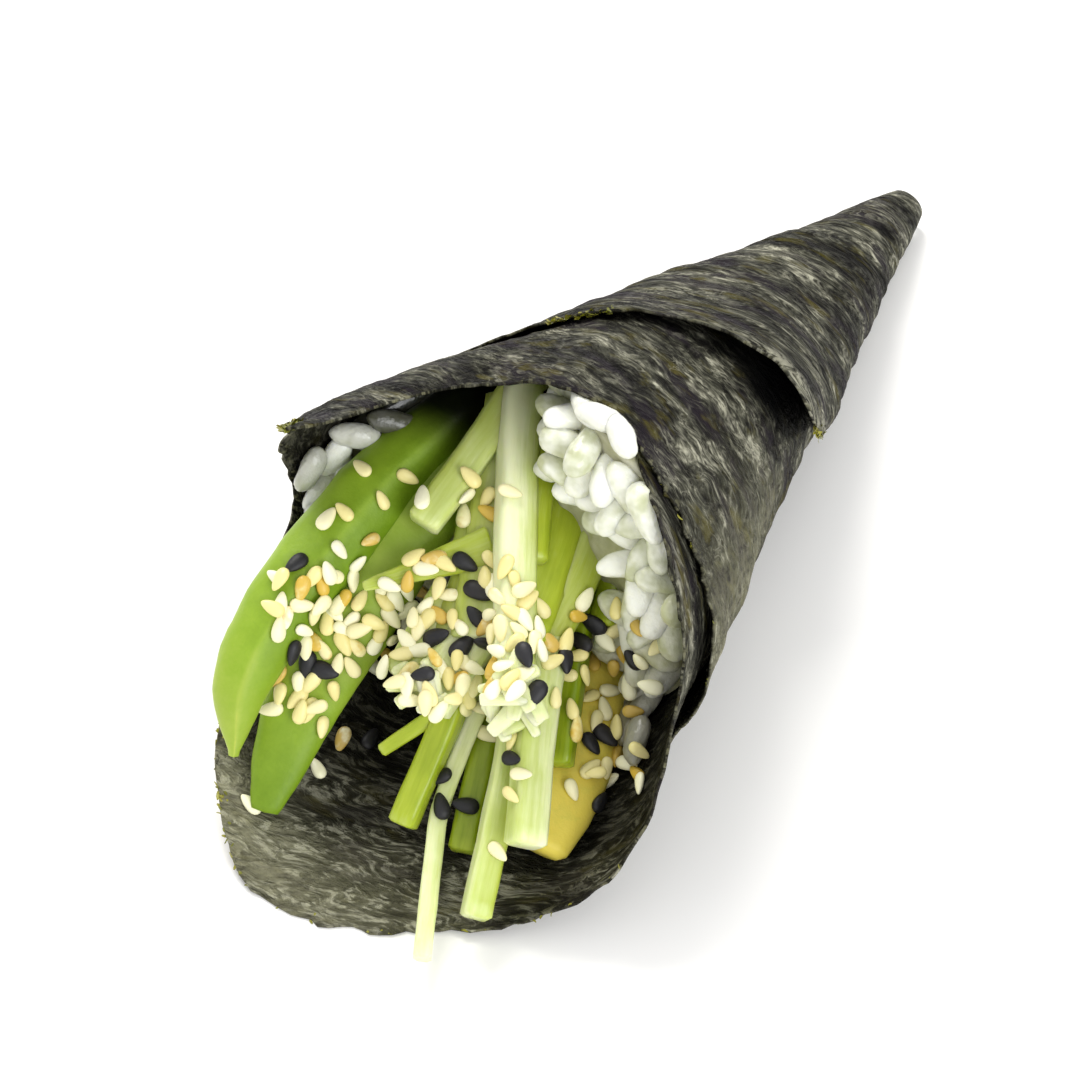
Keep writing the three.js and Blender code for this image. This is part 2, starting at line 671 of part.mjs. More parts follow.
const COLOURS = {
  nori_sheet: [0x3c3f38, 0.6],
  rice: [0xe4e2d6, 0.35],
  cucumber_bundle: [0xc9d98a, 0.35],
  avocado_slice_left: [0x9dbb45, 0.5],
  avocado_slice_middle: [0x7f9c34, 0.5],
  avocado_slice_right: [0xcdb95f, 0.5],
};

const root = new THREE.Group();
root.name = "temaki_hand_roll";
for (const { name, solid } of [{ name: "nori_sheet", solid: nori }, ...hosts]) {
  const [color, roughness] = COLOURS[name];
  const seeds = landed.get(name) ?? [];
  const whole = outerShell(union([solid, ...seeds.map((seed) => seed.solid)]));
  const material = new THREE.MeshStandardMaterial({ color, roughness, metalness: 0 });
  const mesh = new THREE.Mesh(geometryOf(whole), material);
  mesh.name = name;
  root.add(mesh);
}

// The origin lies under the middle of the whole roll, on the ground.
const extent = new THREE.Box3().setFromObject(root);
const middle = extent.getCenter(new THREE.Vector3());
for (const mesh of root.children) mesh.geometry.translate(-middle.x, -middle.y, -extent.min.z);

export default root;
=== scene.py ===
"""Visual model of a temaki hand roll: a cone of toasted nori lying on its side, with its filling and its sesame.

All shapes are computed in millimetres in the winding frame (the cone's axis in the plane x = 0.6, its mouth towards
-Y, the ground at z = 0) and moved to the part's own frame, in metres, when a mesh is made.
"""

import enum
import logging
import math
from collections.abc import Callable, Sequence
from dataclasses import dataclass, field
from functools import partial

import bpy
import numpy as np
from mathutils import Matrix, Vector
from mathutils.bvhtree import BVHTree


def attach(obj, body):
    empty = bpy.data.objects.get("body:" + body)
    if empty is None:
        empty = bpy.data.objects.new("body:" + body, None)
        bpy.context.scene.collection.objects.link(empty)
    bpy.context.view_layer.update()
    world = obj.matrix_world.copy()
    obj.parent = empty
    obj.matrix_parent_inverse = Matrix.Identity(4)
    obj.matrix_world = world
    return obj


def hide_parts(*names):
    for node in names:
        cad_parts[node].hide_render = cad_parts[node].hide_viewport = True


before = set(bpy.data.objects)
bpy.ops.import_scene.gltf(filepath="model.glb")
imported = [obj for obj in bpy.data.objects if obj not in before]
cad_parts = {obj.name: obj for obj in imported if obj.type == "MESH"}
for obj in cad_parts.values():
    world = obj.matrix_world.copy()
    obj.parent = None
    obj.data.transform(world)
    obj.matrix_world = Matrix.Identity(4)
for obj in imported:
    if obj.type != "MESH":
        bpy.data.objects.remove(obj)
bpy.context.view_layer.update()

LOG = logging.getLogger("temaki")
Socket = bpy.types.NodeSocket

MM = 0.001
SHIFT = np.array([-1.678, -0.469, -0.11])  # from the winding frame to the part's own frame, in millimetres
GOLDEN = math.pi * (3.0 - math.sqrt(5.0))
PLACES = 1080.0  # width and height of the plane that the seeds and chips were aimed at
MIDDLE = PLACES / 2
PLACES_PER_MM = 8.73  # at the distance of the mouth
FOCAL = 3665.0  # focal length, in places


# ---------------------------------------------------------------- colour and nodes


def linear(hex_colour: str, alpha: float = 1.0) -> tuple[float, float, float, float]:
    """Turns an sRGB hex colour into the linear colour that a shader socket takes.

    Args:
        hex_colour: Colour as "#rrggbb".
        alpha: Opacity.

    Returns:
        The linear red, green, blue and alpha.
    """
    channels = [int(hex_colour[i : i + 2], 16) / 255 for i in (1, 3, 5)]
    red, green, blue = (c / 12.92 if c <= 0.04045 else ((c + 0.055) / 1.055) ** 2.4 for c in channels)
    return red, green, blue, alpha


def add_node(
    tree: bpy.types.NodeTree,
    kind: str,
    inputs: dict | Sequence = (),
    out: int | str = 0,
    stops: Sequence[tuple[float, str]] = (),
    **settings: object,
) -> Socket | None:
    """Adds one shader node with its settings and links.

    Args:
        tree: Node tree to add to.
        kind: Node type without its "ShaderNode" prefix.
        inputs: Constant or socket for each input, in order, or by name or index.
        out: Output to give.
        stops: Position and sRGB hex colour of each stop of a colour ramp.
        **settings: Properties of the node itself.

    Returns:
        The output socket, or None from a node that has none.
    """
    node = tree.nodes.new("ShaderNode" + kind)
    for name, value in settings.items():
        setattr(node, name, value)
    for name, value in inputs.items() if isinstance(inputs, dict) else enumerate(inputs):
        if isinstance(value, bpy.types.NodeSocket):
            tree.links.new(value, node.inputs[name])
        else:
            node.inputs[name].default_value = value
    for position, _ in stops[2:]:
        node.color_ramp.elements.new(position)
    for element, (position, colour) in zip(node.color_ramp.elements if stops else (), stops):
        element.position = position
        element.color = linear(colour)
    return node.outputs[out] if len(node.outputs) else None


@dataclass(frozen=True)
class Pattern:
    """A noise: its features per millimetre, its octaves and warp, and how the places are drawn out and turned."""

    scale: float
    octaves: float = 4.0
    roughness: float = 0.55  # weight of the finer octaves
    warp: float = 0.0
    drawn: float = 1.0  # scale along Y: below 1, features are longer that way
    turn: float = 0.0  # degrees about Z
    shift: float = 0.0  # offset along Z, to draw another pattern


class Recipe:
    """A material in the making: its nodes, the places on the piece in millimetres, and the mesh values it reads."""

    def __init__(self, name: str, reads: Sequence[str] = (), on_sheet: bool = False) -> None:
        """Starts an empty material.

        Args:
            name: Material name.
            reads: Mesh attributes to read.
            on_sheet: Whether its places are those on the flat sheet.
        """
        self.material = bpy.data.materials.new(name)
        self.material.use_nodes = True
        self.material.node_tree.nodes.clear()
        self.add = partial(add_node, self.material.node_tree)
        if on_sheet:
            self.place = self.add("UVMap", uv_map="sheet")
        else:
            metres = self.add("TexCoord", out="Object")
            self.place = self.add("VectorMath", {0: metres, "Scale": 1 / MM}, operation="SCALE")
        self.read = {value: self.add("Attribute", out="Fac", attribute_name=value) for value in reads}

    def pattern(self, look: Pattern, place: Socket | None = None) -> Socket:
        """Adds a noise on places that are turned about Z, shifted, and then drawn out along Y.

        Args:
            look: The noise.
            place: Places to read, or None for the piece's own.

        Returns:
            The noise, about 0.5 on average.
        """
        turn, shift = (0.0, 0.0, math.radians(look.turn)), (0.0, 0.0, look.shift)
        source = self.place if place is None else place
        turned = self.add("Mapping", {"Vector": source, "Rotation": turn, "Location": shift})
        drawn = self.add("VectorMath", (turned, (1.0, look.drawn, 1.0)), operation="MULTIPLY")
        names = ("Vector", "Scale", "Detail", "Roughness", "Distortion")
        return self.add("TexNoise", dict(zip(names, (drawn, look.scale, look.octaves, look.roughness, look.warp))))

    def total(self, start: Socket | float, *terms: tuple[Socket, float]) -> Socket:
        """Adds to a number, one after the other, sockets times their weights.

        Args:
            start: The number.
            *terms: Socket and weight of each term.

        Returns:
            The sum.
        """
        for socket, weight in terms:
            start = self.add("Math", (socket, weight, start), operation="MULTIPLY_ADD")
        return start

    def mask(self, *parts: Socket | float | tuple) -> Socket:
        """Multiplies parts. A part may be a socket with a low and a high value and what they smoothly become.

        Args:
            *parts: The parts, a number never first.

        Returns:
            The product.
        """
        mask = None
        for part in parts:
            value = self.add("MapRange", part, interpolation_type="SMOOTHSTEP") if isinstance(part, tuple) else part
            mask = value if mask is None else self.add("Math", (mask, value), operation="MULTIPLY")
        return mask

    def tinted(self, colour: Socket, *tints: tuple, blend: str = "MIX") -> Socket:
        """Lays tints over a colour, one after the other, each as far as its mask says.

        Args:
            colour: The colour.
            *tints: Hex colour and mask parts of each tint.
            blend: How the tints are blended in.

        Returns:
            The tinted colour.
        """
        for tint, *parts in tints:
            inputs = {0: self.mask(*parts), 6: colour, 7: linear(tint)}
            colour = self.add("Mix", inputs, 2, data_type="RGBA", blend_type=blend)
        return colour

    def close(
        self, colour: Socket, surface: dict, relief: tuple[Socket, float, float] | None = None
    ) -> bpy.types.Material:
        """Adds the relief, the surface shader and the output.

        Args:
            colour: Colour of the surface.
            surface: Other inputs of the shader.
            relief: Height pattern, its strength, and its height in millimetres.

        Returns:
            The material.
        """
        if relief:
            height, strength, distance = relief
            bump = self.add("Bump", {"Height": height, "Strength": strength, "Distance": distance * MM})
            surface = {**surface, "Normal": bump}
        shader = self.add("BsdfPrincipled", {"Base Color": colour, **surface})
        self.add("OutputMaterial", {"Surface": shader})
        return self.material


# ---------------------------------------------------------------- numbers and forms


def cell_values(cells: np.ndarray, seed: int) -> np.ndarray:
    """Gives every integer cell its own number, by integer hashing.

    Args:
        cells: Integer coordinates, shape (..., dimensions).
        seed: Which pattern.

    Returns:
        Numbers from 0 to 1, shape (...).
    """
    total = np.full(cells.shape[:-1], (seed * 2654435761 + 12345) % 2**32, dtype=np.uint32)
    for axis, factor in zip(range(cells.shape[-1]), (0x8DA6B343, 0xD8163841, 0xCB1AB31F)):
        total ^= (cells[..., axis].astype(np.int64) & 0xFFFFFFFF).astype(np.uint32) * np.uint32(factor)
        total = (total ^ (total >> np.uint32(15))) * np.uint32(0x2C1B3C6D)
    total = (total ^ (total >> np.uint32(12))) * np.uint32(0x297A2D39)
    total ^= total >> np.uint32(15)
    return total / 2.0**32


def value_noise(points: np.ndarray, seed: int) -> np.ndarray:
    """Smooth noise: cell corners have hashed values, blended by a cubic fade between them.

    Args:
        points: Positions, shape (..., dimensions), one feature per unit.
        seed: Which pattern.

    Returns:
        Noise from -1 to 1, shape (...).
    """
    low = np.floor(points).astype(np.int64)
    part = points - low
    fade = part * part * (3.0 - 2.0 * part)
    dimensions = points.shape[-1]
    total = np.zeros(points.shape[:-1])
    for corner in range(2**dimensions):
        offset = np.array([(corner >> axis) & 1 for axis in range(dimensions)])
        weight = np.prod(np.where(offset == 1, fade, 1.0 - fade), axis=-1)
        total += weight * cell_values(low + offset, seed)
    return 2.0 * total - 1.0


def layered_noise(points: np.ndarray, octaves: int, seed: int) -> np.ndarray:
    """Noise with finer and fainter octaves added: each has twice the detail and half the height."""
    return sum(0.5**octave * value_noise(points * 2.0**octave, seed + octave) for octave in range(octaves))


def random_values(count: int, columns: int, seed: int) -> np.ndarray:
    """A table of hashed numbers."""
    cells = np.stack(np.meshgrid(np.arange(count), np.arange(columns), indexing="ij"), axis=-1)
    return cell_values(cells, seed)


def smooth_step(low: float, high: float, x: np.ndarray) -> np.ndarray:
    """Smooth ramp from 0 at low to 1 at high."""
    t = np.clip((x - low) / (high - low), 0.0, 1.0)
    return t * t * (3.0 - 2.0 * t)


def bell(x: np.ndarray, centre: float, width: float) -> np.ndarray:
    """Bell curve: 1 at the centre, 1/e one width away."""
    return np.exp(-(((x - centre) / width) ** 2))


def angle_between(a: np.ndarray, b: float) -> np.ndarray:
    """Smaller change of direction between angles in degrees."""
    return np.abs((a - b + 540.0) % 360.0 - 180.0)


def soft_max(a: np.ndarray, b: np.ndarray | float, blend: float) -> np.ndarray:
    """Smooth maximum: half of a + b + hypot(a - b, blend)."""
    return 0.5 * (a + b + np.hypot(a - b, blend))


def along(points: np.ndarray, x: np.ndarray) -> np.ndarray:
    """Smooth line through points: cubic Hermite pieces whose slope at a point is that between its neighbours.

    Args:
        points: Rows of x and one or more values, x rising, shape (n, 1 + k).
        x: Where to read the line, shape (m,).

    Returns:
        Values, shape (m, k).
    """
    last = len(points) - 1
    i = np.clip(np.searchsorted(points[:, 0], x, side="right") - 1, 0, last - 1)
    before = np.maximum(np.arange(last + 1) - 1, 0)
    after = np.minimum(np.arange(last + 1) + 1, last)
    slopes = (points[after, 1:] - points[before, 1:]) / (points[after, :1] - points[before, :1])
    h = (points[i + 1, 0] - points[i, 0])[:, None]
    t = np.clip((x[:, None] - points[i, :1]) / h, 0.0, 1.0)
    t2, t3 = t * t, t * t * t
    return (
        (2 * t3 - 3 * t2 + 1) * points[i, 1:]
        + (t3 - 2 * t2 + t) * h * slopes[i]
        + (3 * t2 - 2 * t3) * points[i + 1, 1:]
        + (t3 - t2) * h * slopes[i + 1]
    )


def unit(vectors: np.ndarray) -> np.ndarray:
    """Scales vectors to length one."""
    return vectors / np.maximum(np.linalg.norm(vectors, axis=-1, keepdims=True), 1e-12)


def grid_quads(rows: int, columns: int, wrap: bool = False) -> np.ndarray:
    """Faces of a grid of points stored row by row.

    Args:
        rows: Number of rows of points.
        columns: Number of points in a row.
        wrap: Whether the last point of a row joins the first.

    Returns:
        Quads, shape (n, 4).
    """
    steps = columns if wrap else columns - 1
    j, i = np.meshgrid(np.arange(rows - 1), np.arange(steps), indexing="ij")
    a = (j * columns + i).ravel()
    b = (j * columns + (i + 1) % columns).ravel()
    return np.stack([a, b, b + columns, a + columns], axis=1)


def tube_faces(rings: int, count: int) -> list[np.ndarray]:
    """Faces of a closed tube whose points are its first end, its rings one by one, and its last end.

    Args:
        rings: Number of rings.
        count: Number of points in a ring.

    Returns:
        The quads between the rings and the triangles of either end.
    """
    ring = np.arange(count)
    last = 1 + (rings - 1) * count
    first_fan = np.stack([np.zeros(count, dtype=int), 1 + (ring + 1) % count, 1 + ring], axis=1)
    last_fan = np.stack([np.full(count, last + count), last + ring, last + (ring + 1) % count], axis=1)
    return [grid_quads(rings, count, wrap=True) + 1, first_fan, last_fan]


@dataclass
class Shape:
    """A mesh in the making, in millimetres in the winding frame."""

    points: np.ndarray
    faces: list[np.ndarray]
    values: dict[str, np.ndarray] = field(default_factory=dict)
    uv: np.ndarray | None = None

    def joined(self, others: Sequence["Shape"]) -> "Shape":
        """Joins shapes that carry the same values into one.

        Args:
            others: The other shapes.

        Returns:
            One shape.
        """
        shapes = [self, *others]
        starts = np.cumsum([0] + [len(shape.points) for shape in shapes[:-1]])
        return Shape(
            np.concatenate([shape.points for shape in shapes]),
            [face + start for shape, start in zip(shapes, starts) for face in shape.faces],
            {name: np.concatenate([shape.values[name] for shape in shapes]) for name in self.values},
            None if self.uv is None else np.concatenate([shape.uv for shape in shapes]),
        )

    def tree(self) -> BVHTree:
        """Makes a search tree of the faces, in millimetres."""
        polygons = [face for faces in self.faces for face in faces.tolist()]
        return BVHTree.FromPolygons(self.points.tolist(), polygons)


def tree_of(shapes: Sequence[Shape]) -> BVHTree:
    """Makes one search tree of the faces of several shapes."""
    first, *others = (Shape(shape.points, shape.faces) for shape in shapes)
    return first.joined(others).tree()


def make_piece(
    name: str, shape: Shape, material: bpy.types.Material, slot: str, stands_for: Sequence[str]
) -> bpy.types.Object:
    """Makes a Blender object of a shape, hangs it under the root and hides the CAD nodes that it replaces.

    Args:
        name: Object name.
        shape: The shape, in millimetres.
        material: Its material.
        slot: Material slot of the record; not used.
        stands_for: CAD nodes that it replaces.

    Returns:
        The new object.
    """
    mesh = bpy.data.meshes.new(name)
    places = (shape.points + SHIFT) * MM
    corners = np.concatenate([face.ravel() for face in shape.faces]).astype(np.int32)
    sizes = np.concatenate([np.full(len(face), face.shape[1]) for face in shape.faces])
    starts = np.concatenate([[0], np.cumsum(sizes)[:-1]]).astype(np.int32)
    mesh.vertices.add(len(places))
    mesh.vertices.foreach_set("co", places.astype(np.float32).ravel())
    mesh.loops.add(len(corners))
    mesh.loops.foreach_set("vertex_index", corners)
    mesh.polygons.add(len(starts))
    mesh.polygons.foreach_set("loop_start", starts)
    mesh.update(calc_edges=True)
    mesh.polygons.foreach_set("use_smooth", np.ones(len(starts), dtype=bool))
    for key, values in shape.values.items():
        layer = mesh.attributes.new(key, "FLOAT", "POINT")
        layer.data.foreach_set("value", values.astype(np.float32))
    if shape.uv is not None:
        layer = mesh.uv_layers.new(name="sheet")
        layer.data.foreach_set("uv", shape.uv[corners].astype(np.float32).ravel())
    mesh.validate()
    mesh.materials.append(material)
    piece = bpy.data.objects.new(name, mesh)
    bpy.context.scene.collection.objects.link(piece)
    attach(piece, "root")
    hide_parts(*stands_for)
    LOG.info("%s: %d faces", name, len(starts))
    return piece


# ---------------------------------------------------------------- finishes


@dataclass(frozen=True)
class NoriFinish:
    """Toasted nori: matted dark fibres that catch the light, with olive tints, thin spots and torn green edges, and
    with light and shade painted in at places.
    """

    deep: str = "#0e0d0c"
    dark: str = "#22211c"
    middle: str = "#3b3b32"
    light: str = "#616053"
    fibre: str = "#aaa895"
    olive: str = "#56501f"
    plum: str = "#221c24"
    inner_tint: str = "#77755a"
    # colour of the painted light on the flap's lower left, and of a painted highlight on the right flank
    painted_light_tint: str = "#98967a"
    # colour of the painted shade inside the roll, multiplied in
    painted_shade_tint: str = "#3a3935"
    frayed: str = "#75735a"
    # colour of the painted shadow in the gap under the lifted free end
    painted_gap_shadow: str = "#020202"

    def hairs(self, recipe: Recipe, place: Socket, turn: float, scale: float, shift: float, width: float) -> Socket:
        """Adds short thin fibres: the lines where a drawn-out noise is even, broken up by a second noise.

        Args:
            recipe: The material in the making.
            place: Places on the sheet.
            turn: How far the fibres lie off the way round the roll, in degrees.
            scale: Fibres per millimetre.
            shift: Which pattern.
            width: Width of a fibre, as a share of the noise.

        Returns:
            The fibre mask, 0 to 1.
        """
        line = recipe.pattern(Pattern(scale, 1.0, 0.5, 0.0, 0.13, turn, shift), place)
        line = recipe.add("Math", (recipe.total(-0.5, (line, 1.0)),), operation="ABSOLUTE")
        gaps = recipe.pattern(Pattern(0.8 * scale, 1.0, 0.5, 0.0, 0.286, turn, shift), place)
        return recipe.mask((line, 0.3 * width, width, 1.0, 0.0), (gaps, 0.5, 0.62, 0.0, 1.0))

    def build(self) -> bpy.types.Material:
        """Makes the material: fibres drawn out round the roll and bent by a slow swirl, then one tint after another.

        Returns:
            The material.
        """
        recipe = Recipe("toasted_nori", ("inner", "dry", "moist", "rim", "hem", "under"), on_sheet=True)
        inner, dry, moist, rim, hem, under = recipe.read.values()
        swirl = recipe.add("TexNoise", {"Vector": recipe.place, "Scale": 0.13, "Detail": 2.0, "Roughness": 0.45}, 1)
        bent = recipe.add("VectorMath", (swirl, (6.0,) * 3, (-3.0,) * 3), operation="MULTIPLY_ADD")
        warped = recipe.add("VectorMath", (recipe.place, bent), operation="ADD")
        # bundles of fibres 2.5 mm apart, strands of 0.8 mm, and threads of 0.4 mm; a real fibre of 0.1 mm is too fine
        # to show, so they are drawn coarser
        bundles = recipe.pattern(Pattern(0.4, 4.0, 0.62, 0.3, 0.38, 6.0, 23.0), warped)
        strands = recipe.pattern(Pattern(1.2, 4.0, 0.62, 0.2, 0.26), warped)
        threads = recipe.pattern(Pattern(2.6, 3.0, 0.6, 0.0, 0.2, 14.0, 7.0), warped)
        # thick and thin places of 7 mm, pits of 1 mm, plum places of 5 mm, olive ones of 3 mm, and pale ones of 1.2 mm
        # that break up the frayed rim and the painted light
        clouds = recipe.pattern(Pattern(0.15, 4.0, 0.65, 0.0, 0.6, 10.0, 87.0))
        flecks = recipe.pattern(Pattern(0.9, 4.0, 0.6, 0.0, 0.6, 5.0, 43.0))
        blush = recipe.pattern(Pattern(0.2, 4.0, 0.6, 0.0, 0.5, 8.0, 31.0))
        spots = recipe.pattern(Pattern(0.3, 3.0, 0.6, 0.0, 0.5, 0.0, 53.0))
        pale = recipe.pattern(Pattern(0.8, 3.0, 0.6))
        hairs = self.hairs(recipe, warped, 9.0, 0.6, 3.0, 0.03)
        for turn, scale, shift, width in ((-20.0, 0.7, 19.0, 0.03), (2.0, 1.0, 61.0, 0.04)):
            more = self.hairs(recipe, warped, turn, scale, shift, width)
            hairs = recipe.add("Math", (hairs, more), operation="MAXIMUM")
        streaks = recipe.mask(recipe.total(-0.47, (strands, 1.0)), inner)
        body = recipe.total(-0.25, (strands, 0.42), (threads, 0.26), (bundles, 0.32), (clouds, 0.5), (streaks, 0.9))
        stops = ((0.38, self.deep), (0.45, self.dark), (0.51, self.middle), (0.57, self.light), (0.65, self.fibre))
        colour = recipe.tinted(
            recipe.add("ValToRGB", (body,), stops=stops),
            (self.deep, (flecks, 0.34, 0.45, 0.7, 0.0)),
            (self.plum, (blush, 0.5, 0.62, 0.0, 0.7)),
            (self.olive, (spots, 0.55, 0.7, 0.0, 0.6)),
            (self.fibre, hairs, (clouds, 0.4, 0.6, 0.0, 0.35)),
            (self.inner_tint, inner, 0.15),
            # painted light: paler on the flap's lower left and on the right flank, broken up by the pale noise
            (self.painted_light_tint, dry, (pale, 0.3, 0.6, 0.21, 0.6)),
        )
        colour = recipe.tinted(
            # painted shade: darker on the inner face, towards the fillings
            recipe.tinted(colour, (self.painted_shade_tint, moist, 0.85), blend="MULTIPLY"),
            (self.fibre, hem, (threads, 0.44, 0.57, 0.0, 0.7)),
            (self.frayed, (rim, 0.1, 1.6, 1.0, 0.0), (pale, 0.5, 0.64, 0.0, 0.7)),
            # painted shadow: near black in the gap under the lifted free end
            (self.painted_gap_shadow, under),
        )
        height = recipe.total(0.0, (strands, 0.9), (bundles, 2.2), (hairs, 0.13))
        surface = {"Roughness": recipe.mask((threads, 0.35, 0.7, 0.7, 0.5)), "Specular IOR Level": 0.05}
        return recipe.close(colour, surface, (height, 1.0, 1.0))


@dataclass(frozen=True)
class RiceFinish:
    """Cooked short-grain rice: damp, white and a little translucent, with a chalkier heart in some grains."""

    clear: str = "#b9bd97"
    chalky: str = "#f1f2e6"
    darkened_tint: str = "#9a9270"
    shaded: str = "#14150b"

    def build(self) -> bpy.types.Material:
        """Makes the material.

        Returns:
            The material.
        """
        recipe = Recipe("cooked_rice", ("tone", "darkening", "shade"))
        tone, darkening, shade = recipe.read.values()
        # a chalky heart of 2.5 mm, and a skin wrinkled every 0.9 mm
        heart = recipe.total(0.0, (recipe.pattern(Pattern(0.4, 2.0, 0.5)), 1.0), (tone, 0.5))
        colour = recipe.add("ValToRGB", (heart,), stops=((0.45, self.clear), (0.8, self.chalky)))
        # a darker tint where the rice is darkened, then the painted shade
        colour = recipe.tinted(colour, (self.darkened_tint, darkening), (self.shaded, shade))
        surface = {
            "Roughness": 0.28,
            "Specular IOR Level": 0.5,
            "Coat Weight": 0.35,
            "Coat Roughness": 0.12,
            "Subsurface Weight": 0.4,
            "Subsurface Radius": (1.0, 0.97, 0.7),
            "Subsurface Scale": 0.9 * MM,
        }
        return recipe.close(colour, surface, (recipe.pattern(Pattern(1.1, 3.0)), 0.6, 0.35))


@dataclass(frozen=True)
class CucumberFinish:
    """Cut cucumber: wet, translucent pale flesh that turns green towards the skin side, finely streaked lengthwise."""

    pale: str = "#eaefc0"
    flesh: str = "#c3cf7c"
    green: str = "#a8b730"
    deep: str = "#7b9009"

    def build(self) -> bpy.types.Material:
        """Makes the material.

        Returns:
            The material.
        """
        recipe = Recipe("cut_cucumber", ("tone",))
        # streaks 0.8 mm apart and ten times as long, and patches of 5 mm
        run = recipe.add("UVMap", uv_map="sheet")
        streaks = recipe.pattern(Pattern(1.3, 5.0, 0.6, 0.2, 0.1), run)
        patches = recipe.pattern(Pattern(0.2, 3.0, 0.5))
        tone = recipe.total(-0.4, (recipe.read["tone"], 1.0), (streaks, 0.45), (patches, 0.35))
        stops = ((0.0, self.pale), (0.33, self.flesh), (0.66, self.green), (1.0, self.deep))
        surface = {
            "Roughness": 0.32,
            "Specular IOR Level": 0.35,
            "Coat Weight": 0.15,
            "Coat Roughness": 0.12,
            "Subsurface Weight": 0.35,
            "Subsurface Radius": (0.8, 1.0, 0.35),
            "Subsurface Scale": 2.2 * MM,
        }
        return recipe.close(recipe.add("ValToRGB", (tone,), stops=stops), surface, (streaks, 0.4, 0.25))


@dataclass(frozen=True)
class AvocadoFinish:
    """Ripe avocado flesh: buttery yellow at the stone, green towards the skin, faintly mottled and satin, with painted
    shade where it runs deep into the mouth.
    """

    name: str
    yellow: str = "#dfcc55"
    lime: str = "#a3b548"
    green: str = "#88a52a"
    deep: str = "#66860f"
    # colour of the painted shade on the upper ends
    hollow: str = "#0b0f02"

    def build(self) -> bpy.types.Material:
        """Makes the material.

        Returns:
            The material.
        """
        recipe = Recipe(self.name, ("tone", "shade"))
        # mottling of 2 mm, and a finer one of 0.5 mm
        mottle, fine = recipe.pattern(Pattern(0.45)), recipe.pattern(Pattern(2.2, 3.0, 0.6))
        tone = recipe.total(-0.21, (recipe.read["tone"], 1.0), (mottle, 0.3), (fine, 0.12))
        stops = ((0.0, self.yellow), (0.3, self.lime), (0.62, self.green), (1.0, self.deep))
        # painted shade from the shade value
        colour = recipe.tinted(recipe.add("ValToRGB", (tone,), stops=stops), (self.hollow, recipe.read["shade"]))
        surface = {
            "Roughness": 0.45,
            "Specular IOR Level": 0.3,
            "Subsurface Weight": 0.25,
            "Subsurface Radius": (0.9, 1.0, 0.3),
            "Subsurface Scale": 1.5 * MM,
        }
        return recipe.close(colour, surface, (recipe.total(0.0, (mottle, 0.6), (fine, 0.4)), 0.35, 0.3))


@dataclass(frozen=True)
class TornNoriFinish(AvocadoFinish):
    """Torn edge of toasted nori: thin olive flakes, browner in the shade, mottled and satin as the flesh is."""

    name: str = "torn_nori"
    yellow: str = "#8f8a40"
    lime: str = "#8d8a2c"
    green: str = "#6b6d26"
    deep: str = "#2d2c26"


@dataclass(frozen=True)
class SesameFinish:
    """Sesame seeds: hulled cream ones, toasted golden at places, or black ones with a dull skin."""

    name: str
    pale: str
    warm: str
    toasted: str
    toast: float
    roughness: float

    def build(self) -> bpy.types.Material:
        """Makes the material.

        Returns:
            The material.
        """
        recipe = Recipe(self.name, ("tone", "toast"))
        tone, toast = recipe.read.values()
        # toasted spots of 2 mm, and a skin grain of 0.3 mm, coarser than the real one so that it shows
        blush, grit = recipe.pattern(Pattern(0.5, 3.0)), recipe.pattern(Pattern(3.0, 3.0))
        spot = recipe.total(toast, (blush, 1.0))
        tints = (self.warm, (tone, 0.1, 0.9, 0.0, 1.0)), (self.toasted, (spot, 0.9, 1.2, 0.0, self.toast))
        colour = recipe.tinted(linear(self.pale), *tints)
        surface = {"Roughness": self.roughness, "Specular IOR Level": 0.45}
        return recipe.close(colour, surface, (grit, 0.3, 0.12))


@dataclass(frozen=True)
class TableFinish:
    """A plain white table top, evenly matt."""

    colour: str = "#f7f6f4"
    shadow: str = "#e9e7e2"

    def build(self) -> bpy.types.Material:
        """Makes the material.

        Returns:
            The material.
        """
        recipe = Recipe("white_table")
        grain = recipe.pattern(Pattern(0.02, 2.0))  # shades of 50 mm, hardly seen
        colour = recipe.tinted(linear(self.colour), (self.shadow, (grain, 0.3, 0.7, 0.0, 0.03)))
        return recipe.close(colour, {"Roughness": 0.85, "Specular IOR Level": 0.2})


# ---------------------------------------------------------------- the cone and the nori


@dataclass(frozen=True)
class ConeForm:
    """The cone that everything follows; stations are millimetres from its tip, turns are degrees from the top."""

    tip_y: float = 67.8
    axis_x: float = 0.6
    tip_radius: float = 2.05
    slope: float = 0.262
    settle: float = 0.018
    tip_end: float = 0.6
    ground_blend: float = 0.3
    tip_rounding: float = 0.15
    tip_bulge: float = 0.8
    rounding_run: float = 2.0
    bulge_run: float = 8.0
    widening: float = 1.02

    def radius(self, station: np.ndarray) -> np.ndarray:
        """Radius at a station: rises evenly with the station, fuller near the tip and rounded off at its end.

        Args:
            station: Stations.

        Returns:
            Radii.
        """
        from_tip = station - self.tip_end
        drawn_in = self.tip_rounding * np.exp(-from_tip / self.rounding_run)
        bulge = self.tip_bulge * np.exp(-from_tip / self.bulge_run)
        return (self.tip_radius + self.slope * station) * (1 - drawn_in) + bulge

    def height(self, station: np.ndarray) -> np.ndarray:
        """Height of the axis: the radius less how far the cone has settled into its flat foot."""
        return self.radius(station) - self.settle * station

    def point(
        self, turn: np.ndarray, station: np.ndarray, inset: np.ndarray, ground: np.ndarray | float
    ) -> np.ndarray:
        """Point on the cone: a circle of the radius less the inset about the axis, held above the ground.

        Args:
            turn: Turns in degrees.
            station: Stations.
            inset: How far inside the outermost surface.
            ground: Lowest height.

        Returns:
            Points, shape (..., 3).
        """
        radius = self.radius(station) - inset
        angle = np.radians(turn)
        z = self.height(station) + radius * np.cos(angle)
        x = self.axis_x + radius * self.widening * np.sin(angle)
        return np.stack([x, self.tip_y - station, soft_max(z, ground, self.ground_blend)], axis=-1)


CONE = ConeForm()

